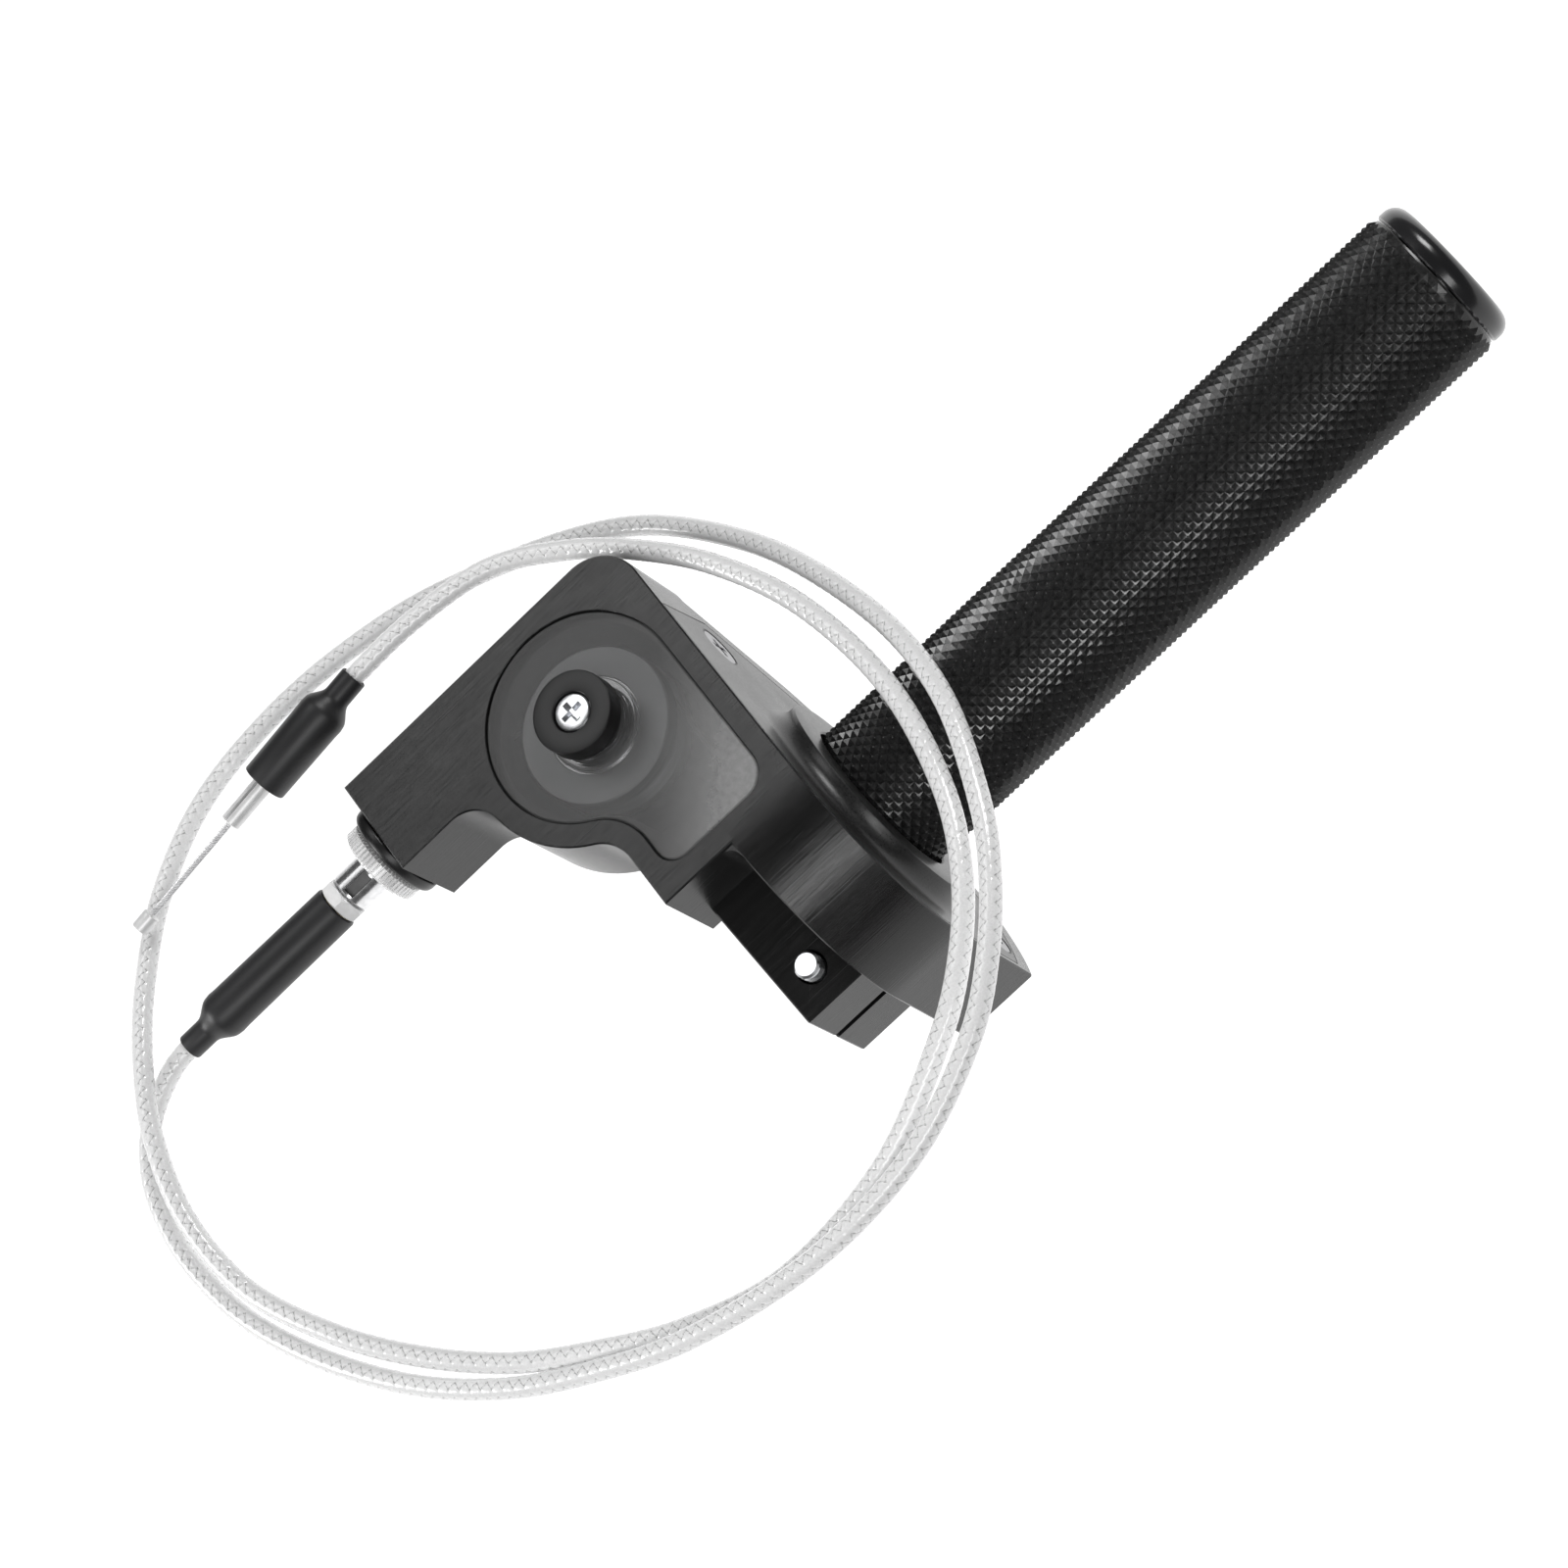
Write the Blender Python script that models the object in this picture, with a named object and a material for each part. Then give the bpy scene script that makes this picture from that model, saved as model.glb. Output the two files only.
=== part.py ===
"""Quick-action throttle grip for a 22 mm handlebar, with its pulley housing and braided cable.

The origin is on the handlebar's axis, inside the split clamp.
+X runs along the bar to the grip's outer end, +Z is the window's normal, +Y points at the pulley.
The sizes below are in millimetres and are turned into metres where a mesh is made.
"""

import math

import bmesh
import bpy
from mathutils import Vector

MM = 0.001
GAP = 0.3
CHAMFER = 0.4
ARC_STEP = 9.0
BIG_ROUND = 48
SMALL_ROUND = 24
TINY_ROUND = 16

# Handlebar, grip tube and cap
BAR_BORE_RADIUS = 11.2
TUBE_BORE_RADIUS = 11.4
TUBE_SEAT_RADIUS = 13.0
GRIP_RADIUS = 15.0
TUBE_START = 9.8
GRIP_START = 20.5
GRIP_END = 158.0
CAP_END = 162.6
CAP_RADIUS = 14.6
CAP_ROUNDING = 3.0
CAP_PLUG_LENGTH = 4.0

# Cable geometry: one plane holds the wire's run from the drum over the pulley to the arm
WIRE_Z = 20.8
WIRE_RADIUS = 0.6
DRUM_WIRE_RADIUS = 20.8
PULLEY_WIRE_RADIUS = 12.9
PULLEY_CENTRE = (-0.2, 35.9)
DRUM_WIRE_X = PULLEY_CENTRE[0] + PULLEY_WIRE_RADIUS
ADJUSTER_Y = PULLEY_CENTRE[1] + PULLEY_WIRE_RADIUS

# Housing
HOUSING_BACK = 11.5
HOUSING_FRONT = 30.5
HOUSING_TOP = 60.0
HOUSING_CORNER = 9.3
HOUSING_BELLY_RADIUS = 23.4
ARM_END = -42.6
ARM_LOWER = 39.3
ARM_FILLET_RADIUS = 7.0
WALL_LEFT = -8.6
WALL_BOTTOM = -2.3
WALL_FILLET_RADIUS = 8.0
POCKET_FLOOR = 14.0
POCKET_INSET = 1.2

# Window let into the housing's front
WINDOW_CENTRE = (0.0, 36.2)
WINDOW_RADIUS = 19.2
WINDOW_BACK = 28.0
WINDOW_FRONT = 30.3
WINDOW_LEFT = -4.2
WINDOW_BOTTOM = 2.2
WINDOW_FILLET_RADIUS = 11.8
WINDOW_CORNERS = (4.0, 5.0)
WINDOW_HOLE_RADIUS = 4.0

# Drum chamber and its cover plate
CHAMBER_START = 7.0
CHAMBER_FACE = 23.5
CHAMBER_RADIUS = 43.4
CHAMBER_SHOULDER = 30.5
CHAMBER_SIDE_Y = 50.7
CHAMBER_SIDE_ANGLE = -22.4
CHAMBER_CORNER_ANGLE = -135.9
CAVITY_START = 9.5
CAVITY_RADIUS = 25.8
COVER_START = 21.0
COVER_LIP = 0.9
COVER_RIM_RADIUS = 39.0
COVER_SIDE = ((45.7, 8.6), (42.0, 29.6))
BOSS_FACE = 27.4
BOSS_RADIUS = 22.3
BOSS_FILLET_RADIUS = 3.0
BOSS_BORE_RADIUS = 15.5
COVER_SCREWS = ((38.6, 11.1), (-22.5, -25.5), (22.0, -26.0))
COVER_SCREW_HEAD_RADIUS = 4.15
COVER_SCREW_SHANK_RADIUS = 1.9
COVER_SCREW_END = 12.0

# Clamp
CLAMP_START = -5.5
CLAMP_SIDE = -28.1
CLAMP_HALF_HEIGHT = 11.3
CLAMP_RADIUS = 17.8
SLIT_HALF_WIDTH = 0.75
PINCH_BOLT = (1.2, -21.3)
PINCH_HOLE_RADIUS = 2.95
PINCH_SEAT = -11.7
PINCH_SEAT_RADIUS = 4.9
PINCH_BOLT_TOP = 15.2

# Drum
DRUM_START = 10.3
DRUM_END = 19.9
DRUM_FLANGE_RADIUS = 24.0
DRUM_HUB_RADIUS = 18.0
GROOVE_HALF_WIDTH = WIRE_RADIUS + GAP
NIPPLE_RADIUS = 2.5
ANCHOR_ANGLE = 188.0

# Pulley, its post and its knob
PULLEY_RADIUS = 14.6
PULLEY_BACK = 16.5
PULLEY_RIM_FRONT = 25.3
PULLEY_HUB_FRONT = 27.2
PULLEY_HUB_RADIUS = 8.3
BEARING_RADIUS = 5.0
POST_RADIUS = 2.5
KNOB_RADIUS = 7.7
KNOB_START = 30.6
KNOB_END = 34.7

# Adjuster on the arm; the stations run along -X from the arm's end face
ADJUSTER_INSIDE = -30.0
COLLAR = (-42.9, -45.4, 9.5)
LOCK_NUT = (-45.7, -49.0, 8.1)
ADJUSTER_HEAD = (-49.3, -56.0, 4.1)
ADJUSTER_SLOT = (118.0, 2.9, 1.05)
ADJUSTER_TAIL = -59.0
HEX_NUT = (-56.3, -59.0, 8.0)
THREAD_RADIUS = 3.0
TAIL_RADIUS = 2.4
WIRE_BORE_RADIUS = 1.1
FERRULE = (-59.6, -84.0, 3.1)

# Rubber boots, as distances from the open end: body, shoulder, start of the neck, end
BOOT_BODY_RADIUS = 4.35
BOOT_SHOULDER_RADIUS = 4.6
BOOT_NECK_RADIUS = 2.55
BOOT_OPEN_X = -59.3
BOOT_STATIONS = (0.0, 29.0, 34.0, 38.2)

# Outer cable
CABLE_RADIUS = 1.95
CABLE_START = -63.5
CABLE_STEP = 12.0
CABLE_ROUTE = (
    (CABLE_START, ADJUSTER_Y, WIRE_Z), (-80, ADJUSTER_Y, WIRE_Z), (-97, ADJUSTER_Y, WIRE_Z),
    (-104.8, 47.6, 20), (-112.5, 43.9, 18.6), (-118.3, 37.4, 17.2), (-121.3, 29, 16),
    (-122, 18, 15), (-119, 3, 14.5), (-111, -13.5, 15), (-99, -30, 16), (-84.5, -43.5, 18),
    (-69, -53.5, 21), (-52.5, -62, 25), (-32, -68.5, 30), (-14, -71, 34), (3.5, -69.5, 37),
    (20, -63, 39), (30, -55, 39), (38.5, -44.5, 38), (45, -32, 36), (51, -11, 32), (51, 10, 27),
    (45.5, 33.5, 22), (38, 50.5, 18), (27.5, 65.5, 15), (15, 75.5, 13.5), (-2, 84, 13),
    (-21, 90.5, 13), (-45, 93, 14), (-68, 88.5, 17), (-85, 78, 20), (-97, 65, 22), (-105, 52, 24),
    (-111.5, 38.5, 24), (-115.5, 22.5, 22), (-114, 5, 20), (-106, -12, 19), (-95.5, -26.5, 18),
    (-82, -40, 18), (-67.5, -50, 19), (-51.5, -59, 21), (-31, -66, 25), (-6.5, -66, 31),
    (14, -59, 36), (26, -51, 37.5), (35.5, -39.5, 37), (42, -24, 35), (45, -1, 31), (42, 23, 28),
    (34.5, 42.5, 26), (25, 57, 24.5), (15, 67.5, 24), (2, 76, 24.5), (-14, 78.6, 25.6),
)

# Carburettor end: a straight line; distances run along it from the boot's neck
CARB_START = Vector((-30.0, 78.5, 26.0))
CARB_DIRECTION = Vector((-0.9933, -0.1156, 0.0)).normalized()
CARB_BOOT_LENGTH = 25.8
CARB_CABLE_END = 11.5
CARB_SLEEVE = (11.8, 35.4)
CARB_SLEEVE_RADIUS = 1.9
CARB_SLEEVE_HEAD = (24.0, 2.9)
CARB_SLEEVE_BORE = 1.0
CARB_WIRE = (34.2, 57.9)
CARB_NIPPLE = (57.8, 61.4)
CARB_NIPPLE_RADIUS = 1.65

BLACK_METAL = (0.022, 0.023, 0.025, 1.0)
BLACK_RUBBER = (0.018, 0.018, 0.019, 1.0)
BRIGHT_METAL = (0.75, 0.76, 0.78, 1.0)


def clear_scene():
    for item in list(bpy.data.objects):
        bpy.data.objects.remove(item)


# ---------------------------------------------------------------- outlines

def arc(centre, radius, start, end):
    """Points of an arc from one angle to another, in degrees, both ends included."""
    count = max(1, math.ceil(abs(end - start) / ARC_STEP))
    angles = [math.radians(start + (end - start) * i / count) for i in range(count + 1)]
    return [(centre[0] + radius * math.cos(a), centre[1] + radius * math.sin(a)) for a in angles]


def circle(centre, radius, count):
    angles = [math.tau * i / count for i in range(count)]
    return [(centre[0] + radius * math.cos(a), centre[1] + radius * math.sin(a)) for a in angles]


def rectangle(low, high):
    return [(low[0], low[1]), (high[0], low[1]), (high[0], high[1]), (low[0], high[1])]


def slab(centre, angle, low, high, half_width):
    """A rectangle that reaches from one distance to another in the direction of an angle."""
    cosine = math.cos(math.radians(angle))
    sine = math.sin(math.radians(angle))
    corners = rectangle((low, -half_width), (high, half_width))
    return [(centre[0] + a * cosine - b * sine, centre[1] + a * sine + b * cosine) for a, b in corners]


def inset(outline, distance):
    """The outline moved inwards by a distance; it runs anticlockwise."""
    moved = []
    for index, point in enumerate(outline):
        before = Vector(outline[index - 1])
        here = Vector(point)
        after = Vector(outline[(index + 1) % len(outline)])
        arriving = (here - before).normalized()
        leaving = (after - here).normalized()
        normal_in = Vector((-arriving.y, arriving.x))
        normal_out = Vector((-leaving.y, leaving.x))
        middle = normal_in + normal_out
        moved.append(tuple(here + middle * distance / (1.0 + normal_in.dot(normal_out))))
    return moved


def bearing(start, end):
    """The angle in degrees from one point towards another."""
    return math.degrees(math.atan2(end[1] - start[1], end[0] - start[0]))


def fillet_centre(centre, radius, fillet, x=None, y=None):
    """The centre of a fillet outside a circle, below or left of it, when one coordinate is known."""
    if x is None:
        return (centre[0] - math.sqrt((radius + fillet) ** 2 - (centre[1] - y) ** 2), y)
    return (x, centre[1] - math.sqrt((radius + fillet) ** 2 - (centre[0] - x) ** 2))


def body_outline():
    """The pulley case and its arm, seen along Z."""
    corner = (CHAMBER_FACE - HOUSING_CORNER, HOUSING_TOP - HOUSING_CORNER)
    circle_radius = HOUSING_BELLY_RADIUS
    arm_y = ARM_LOWER - ARM_FILLET_RADIUS
    arm_centre = fillet_centre(PULLEY_CENTRE, circle_radius, ARM_FILLET_RADIUS, y=arm_y)
    from_arm = bearing(arm_centre, PULLEY_CENTRE)
    wall_x = WALL_LEFT - WALL_FILLET_RADIUS
    wall_centre = fillet_centre(PULLEY_CENTRE, circle_radius, WALL_FILLET_RADIUS, x=wall_x)
    from_wall = bearing(wall_centre, PULLEY_CENTRE)
    points = [(WALL_LEFT, WALL_BOTTOM), (CHAMBER_START + 1.0, WALL_BOTTOM), (CHAMBER_START + 1.0, 1.0)]
    points += [(CHAMBER_FACE, 1.0)]
    points += arc(corner, HOUSING_CORNER, 0.0, 90.0)
    points += [(ARM_END, HOUSING_TOP), (ARM_END, ARM_LOWER)]
    points += arc(arm_centre, ARM_FILLET_RADIUS, 90.0, from_arm)
    points += arc(PULLEY_CENTRE, circle_radius, 180.0 + from_arm, 180.0 + from_wall)[1:]
    points += arc(wall_centre, WALL_FILLET_RADIUS, from_wall, 0.0)[1:]
    return points


def window_outline():
    """The window, seen along Z."""
    fillet_x = WINDOW_LEFT - WINDOW_FILLET_RADIUS
    centre = fillet_centre(WINDOW_CENTRE, WINDOW_RADIUS, WINDOW_FILLET_RADIUS, x=fillet_x)
    from_fillet = bearing(centre, WINDOW_CENTRE)
    right = WINDOW_CENTRE[0] + WINDOW_RADIUS
    small, large = WINDOW_CORNERS
    points = arc(WINDOW_CENTRE, WINDOW_RADIUS, 0.0, 180.0 + from_fillet)
    points += arc(centre, WINDOW_FILLET_RADIUS, from_fillet, 0.0)[1:]
    points += arc((WINDOW_LEFT + small, WINDOW_BOTTOM + small), small, 180.0, 270.0)
    points += arc((right - large, WINDOW_BOTTOM + large), large, 270.0, 360.0)
    return points


def chamber_outline():
    """The drum chamber's outside, seen along X: first coordinate Y, second Z."""
    points = [(0.0, HOUSING_FRONT)]
    points += arc((0.0, 0.0), CHAMBER_SHOULDER, 90.0, 180.0)[1:]
    points += arc((0.0, 0.0), CHAMBER_RADIUS, CHAMBER_CORNER_ANGLE, CHAMBER_SIDE_ANGLE)
    points += [(CHAMBER_SIDE_Y, HOUSING_BACK), (CHAMBER_SIDE_Y, HOUSING_FRONT)]
    return points


def cover_outline():
    """The cover plate, seen along X."""
    shoulder = CHAMBER_SHOULDER - COVER_LIP
    corner_angle = math.degrees(math.acos(-shoulder / COVER_RIM_RADIUS))
    points = arc((0.0, 0.0), shoulder, 90.0, 180.0)
    points += arc((0.0, 0.0), COVER_RIM_RADIUS, -corner_angle, CHAMBER_SIDE_ANGLE)
    points += list(COVER_SIDE)
    return points


def clamp_outline():
    """The split clamp, seen along X: round the bar, with flanks that slope to the pinch end."""
    corner = (CLAMP_SIDE, CLAMP_HALF_HEIGHT)
    reach = math.hypot(*corner)
    tangent = bearing((0.0, 0.0), corner) - math.degrees(math.acos(CLAMP_RADIUS / reach))
    points = arc((0.0, 0.0), CLAMP_RADIUS, -tangent, tangent)
    points += [corner, (CLAMP_SIDE, -CLAMP_HALF_HEIGHT)]
    return points


# ---------------------------------------------------------------- solids

def place_on_axis(u, v, along, axis):
    """An outline's point at a distance along an axis, in metres."""
    if axis == "X":
        return Vector((along, u, v)) * MM
    if axis == "Y":
        return Vector((v, along, u)) * MM
    return Vector((u, v, along)) * MM


def make_object(name, mesh_data, look=None):
    item = bpy.data.objects.new(name, mesh_data)
    bpy.context.scene.collection.objects.link(item)
    if look:
        item.data.materials.append(look)
    return item


def finish_mesh(name, shape, look):
    bmesh.ops.recalc_face_normals(shape, faces=shape.faces)
    mesh_data = bpy.data.meshes.new(name)
    shape.to_mesh(mesh_data)
    shape.free()
    mesh_data.shade_smooth()
    mesh_data.set_sharp_from_angle(angle=math.radians(35.0))
    return make_object(name, mesh_data, look)


def loft(name, rings, look=None):
    """A solid through rings of points of equal count, closed by flat ends."""
    shape = bmesh.new()
    loops = [[shape.verts.new(point) for point in ring] for ring in rings]
    for lower, upper in zip(loops, loops[1:]):
        for index, corner in enumerate(lower):
            following = (index + 1) % len(lower)
            shape.faces.new((corner, lower[following], upper[following], upper[index]))
    shape.faces.new(list(reversed(loops[0])))
    shape.faces.new(loops[-1])
    return finish_mesh(name, shape, look)


def prism(name, outline, low, high, axis="Z", look=None, chamfer_low=0.0, chamfer_high=0.0):
    """An outline extruded along an axis, with an optional chamfer round each end."""
    stations = []
    if chamfer_low:
        stations.append((inset(outline, chamfer_low), low))
    stations.append((outline, low + chamfer_low))
    stations.append((outline, high - chamfer_high))
    if chamfer_high:
        stations.append((inset(outline, chamfer_high), high))
    rings = [[place_on_axis(u, v, along, axis) for u, v in points] for points, along in stations]
    return loft(name, rings, look)


def turned(name, profile, centre, axis="Z", look=None, segments=SMALL_ROUND):
    """A closed profile of (distance along, radius) points, turned about an axis.

    A radius of zero puts the point on the axis itself.
    """
    shape = bmesh.new()
    rings = []
    for along, radius in profile:
        if radius == 0.0:
            rings.append([shape.verts.new(place_on_axis(centre[0], centre[1], along, axis))])
            continue
        outline = circle(centre, radius, segments)
        rings.append([shape.verts.new(place_on_axis(u, v, along, axis)) for u, v in outline])
    for ring, following_ring in zip(rings, rings[1:] + rings[:1]):
        if len(ring) == 1 and len(following_ring) == 1:
            continue
        for index in range(segments):
            after = (index + 1) % segments
            corners = [ring[index % len(ring)], ring[after % len(ring)]]
            corners += [following_ring[after % len(following_ring)]]
            corners += [following_ring[index % len(following_ring)]]
            shape.faces.new(list(dict.fromkeys(corners)))
    return finish_mesh(name, shape, look)


def rod(name, radius, low, high, centre, axis="Z", look=None, segments=SMALL_ROUND):
    profile = [(low, 0.0), (low, radius), (high, radius), (high, 0.0)]
    return turned(name, profile, centre, axis, look, segments)


def ring(name, inner, outer, low, high, centre, axis="Z", look=None, segments=SMALL_ROUND):
    profile = [(low, inner), (low, outer), (high, outer), (high, inner)]
    return turned(name, profile, centre, axis, look, segments)


def combine(target, tool, operation):
    """Adds a Boolean modifier that joins the tool to the target or cuts it away."""
    tool.hide_render = True
    tool.display_type = "WIRE"
    boolean = target.modifiers.new(tool.name, "BOOLEAN")
    boolean.operation = operation
    boolean.solver = "EXACT"
    boolean.object = tool


def cut(target, tool):
    combine(target, tool, "DIFFERENCE")


def join(target, tool):
    combine(target, tool, "UNION")


def aim(item, start, direction):
    """Turns an object made along +X so that it starts at a point and runs along a direction."""
    item.rotation_mode = "QUATERNION"
    item.rotation_quaternion = Vector((1.0, 0.0, 0.0)).rotation_difference(direction)
    item.location = start * MM


def set_origin(item, point):
    """Moves an object's origin to a point, in millimetres, leaving its shape in place."""
    shift = Vector(point) * MM
    for corner in item.data.vertices:
        corner.co -= shift
    item.location = shift


def tube(name, points, radius, look, sides=3):
    """A round solid along a list of points in millimetres, with filled ends."""
    path = bpy.data.curves.new(name, "CURVE")
    path.dimensions = "3D"
    path.bevel_depth = radius * MM
    path.bevel_resolution = sides - 1
    path.use_fill_caps = True
    line = path.splines.new("POLY")
    line.points.add(len(points) - 1)
    for target, point in zip(line.points, points):
        target.co = (point[0] * MM, point[1] * MM, point[2] * MM, 1.0)
    return make_object(name, path, look)


def material(name, colour, roughness, metallic, alpha=1.0):
    look = bpy.data.materials.new(name)
    look.use_nodes = True
    shader = look.node_tree.nodes["Principled BSDF"]
    shader.inputs["Base Color"].default_value = colour
    shader.inputs["Roughness"].default_value = roughness
    shader.inputs["Metallic"].default_value = metallic
    shader.inputs["Alpha"].default_value = alpha
    return look


# ---------------------------------------------------------------- housing

def cross_recess(name, centre, top, axis, reach, depth=1.1, width=1.2):
    """The cross cut into a screw's head; its two arms are thin blocks."""
    low = top - depth
    high = top + 1.0
    blocks = []
    for half_u, half_v in ((reach, width / 2), (width / 2, reach)):
        corner_low = (centre[0] - half_u, centre[1] - half_v)
        corner_high = (centre[0] + half_u, centre[1] + half_v)
        blocks.append(prism(name, rectangle(corner_low, corner_high), low, high, axis))
    join(*blocks)
    return blocks[0]


def main_housing():
    look = material("housing_black_anodised", BLACK_METAL, 0.38, 0.9)
    housing = prism("main_housing", body_outline(), HOUSING_BACK, HOUSING_FRONT, "Z", look, CHAMFER, CHAMFER)
    chamber_span = (CHAMBER_START, CHAMBER_FACE)
    chamber = prism("chamber_block", chamber_outline(), *chamber_span, "X", None, CHAMFER, CHAMFER)
    clamp = prism("clamp_block", clamp_outline(), CLAMP_START, CHAMBER_START + 1.0, "X", None, CHAMFER)
    join(housing, chamber)
    join(housing, clamp)
    window = window_outline()
    cut(housing, prism("window_recess", inset(window, -GAP), WINDOW_BACK - GAP, HOUSING_FRONT + 1.0))
    cut(housing, prism("pulley_pocket", inset(window, POCKET_INSET), POCKET_FLOOR, HOUSING_FRONT + 1.0))
    beyond = CHAMBER_FACE + 1.0
    cut(housing, rod("drum_cavity", CAVITY_RADIUS, CAVITY_START, beyond, (0, 0), "X", None, BIG_ROUND))
    cover_recess = inset(cover_outline(), -GAP)
    cut(housing, prism("cover_recess", cover_recess, COVER_START - GAP, beyond, "X"))
    bore_span = (CLAMP_START - 1.0, CAVITY_START + 1.0)
    cut(housing, rod("bar_bore", BAR_BORE_RADIUS, *bore_span, (0, 0), "X", None, BIG_ROUND))
    slit = rectangle((CLAMP_SIDE - 1.0, -SLIT_HALF_WIDTH), (-BAR_BORE_RADIUS + 1.0, SLIT_HALF_WIDTH))
    cut(housing, prism("clamp_slit", slit, CLAMP_START - 1.0, CHAMBER_START - GAP, "X"))
    height = CLAMP_RADIUS + 1.0
    cut(housing, rod("pinch_hole", PINCH_HOLE_RADIUS, -height, height, PINCH_BOLT))
    cut(housing, rod("pinch_seat", PINCH_SEAT_RADIUS, -height, PINCH_SEAT, PINCH_BOLT))
    line = (ADJUSTER_Y, WIRE_Z)
    cut(housing, rod("adjuster_hole", THREAD_RADIUS + GAP, ARM_END - 1.0, ADJUSTER_INSIDE + GAP, line, "X"))
    wire_way = (ADJUSTER_INSIDE - 1.0, WINDOW_CENTRE[0] - WINDOW_RADIUS / 2)
    cut(housing, rod("wire_way", 2.0 * WIRE_BORE_RADIUS, wire_way[0], wire_way[1], line, "X"))
    cut(housing, rod("post_hole", POST_RADIUS + GAP, HOUSING_BACK - 1.0, POCKET_FLOOR + 1.0, PULLEY_CENTRE))
    radius = COVER_SCREW_SHANK_RADIUS + GAP
    low = COVER_SCREW_END - GAP
    for number, centre in enumerate(COVER_SCREWS, 1):
        cut(housing, rod(f"screw_hole_{number}", radius, low, beyond, centre, "X", None, TINY_ROUND))


def window_cover():
    look = material("window_smoked", (0.16, 0.17, 0.18, 1.0), 0.15, 0.0, 0.45)
    window = prism("window_cover", window_outline(), WINDOW_BACK, WINDOW_FRONT, "Z", look)
    cut(window, rod("window_hole", WINDOW_HOLE_RADIUS, WINDOW_BACK - 1.0, WINDOW_FRONT + 1.0, PULLEY_CENTRE))


def drum_cover():
    look = material("cover_black_anodised", BLACK_METAL, 0.42, 0.9)
    plate = prism("drum_cover", cover_outline(), COVER_START, CHAMBER_FACE, "X", look)
    foot_radius = BOSS_RADIUS + BOSS_FILLET_RADIUS
    flank = arc((CHAMBER_FACE + BOSS_FILLET_RADIUS, foot_radius), BOSS_FILLET_RADIUS, 270.0, 180.0)
    foot = [(COVER_START + 1.0, foot_radius), (COVER_START + 1.0, 0.0)]
    top = [(BOSS_FACE, 0.0), (BOSS_FACE, BOSS_RADIUS)]
    boss = turned("cover_boss", top + flank + foot, (0, 0), "X", None, BIG_ROUND)
    join(plate, boss)
    bore_span = (COVER_START - 1.0, BOSS_FACE + 1.0)
    cut(plate, rod("boss_bore", BOSS_BORE_RADIUS, *bore_span, (0, 0), "X", None, BIG_ROUND))
    for number, centre in enumerate(COVER_SCREWS, 1):
        wide = COVER_SCREW_HEAD_RADIUS + GAP
        narrow = COVER_SCREW_SHANK_RADIUS + GAP
        sink = [(COVER_START - 1.0, 0.0), (COVER_START - 1.0, narrow), (COVER_START + GAP, narrow)]
        sink += [(CHAMBER_FACE, wide), (CHAMBER_FACE + 1.0, wide), (CHAMBER_FACE + 1.0, 0.0)]
        cut(plate, turned(f"cover_sink_{number}", sink, centre, "X", None, TINY_ROUND))


def cover_screws():
    look = material("screw_black_zinc", (0.04, 0.04, 0.042, 1.0), 0.3, 1.0)
    top = CHAMBER_FACE - 0.1
    foot = COVER_START + GAP
    for number, centre in enumerate(COVER_SCREWS, 1):
        profile = [(COVER_SCREW_END, 0.0), (COVER_SCREW_END, COVER_SCREW_SHANK_RADIUS)]
        profile += [(foot, COVER_SCREW_SHANK_RADIUS), (top, COVER_SCREW_HEAD_RADIUS), (top, 0.0)]
        screw = turned(f"cover_screw_{number}", profile, centre, "X", look, TINY_ROUND)
        cut(screw, cross_recess(f"cover_screw_cross_{number}", centre, top, "X", 2.3))


def pinch_bolt():
    look = material("bolt_bright_zinc", BRIGHT_METAL, 0.25, 1.0)
    under = PINCH_SEAT - GAP
    radius = PINCH_HOLE_RADIUS - 0.45
    profile = [(under - 4.6, 0.0), (under - 4.6, 4.2), (under, 4.2), (under, radius)]
    profile += [(PINCH_BOLT_TOP - 0.4, radius), (PINCH_BOLT_TOP, radius - 0.4), (PINCH_BOLT_TOP, 0.0)]
    bolt = turned("pinch_bolt", profile, PINCH_BOLT, "Z", look)
    socket = circle(PINCH_BOLT, 2.3, 6)
    cut(bolt, prism("pinch_bolt_socket", socket, under - 5.6, under - 2.2))


# ---------------------------------------------------------------- pulley group

def pulley_wheel():
    look = material("pulley_aluminium", (0.3, 0.31, 0.33, 1.0), 0.35, 1.0)
    bottom = PULLEY_WIRE_RADIUS - WIRE_RADIUS - GAP
    bore = BEARING_RADIUS + GAP
    profile = [
        (PULLEY_BACK, bore),
        (PULLEY_BACK, PULLEY_RADIUS),
        (WIRE_Z - 2 * GROOVE_HALF_WIDTH, PULLEY_RADIUS),
        (WIRE_Z - GROOVE_HALF_WIDTH, bottom),
        (WIRE_Z + GROOVE_HALF_WIDTH, bottom),
        (WIRE_Z + 2 * GROOVE_HALF_WIDTH, PULLEY_RADIUS),
        (PULLEY_RIM_FRONT, PULLEY_RADIUS),
        (PULLEY_RIM_FRONT + 0.7, PULLEY_RADIUS - 0.7),
        (PULLEY_RIM_FRONT + 0.7, PULLEY_HUB_RADIUS),
        (PULLEY_HUB_FRONT - 0.5, PULLEY_HUB_RADIUS),
        (PULLEY_HUB_FRONT, PULLEY_HUB_RADIUS - 0.5),
        (PULLEY_HUB_FRONT, bore),
    ]
    wheel = turned("pulley_wheel", profile, PULLEY_CENTRE, "Z", look, BIG_ROUND)
    set_origin(wheel, (PULLEY_CENTRE[0], PULLEY_CENTRE[1], WIRE_Z))


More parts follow.
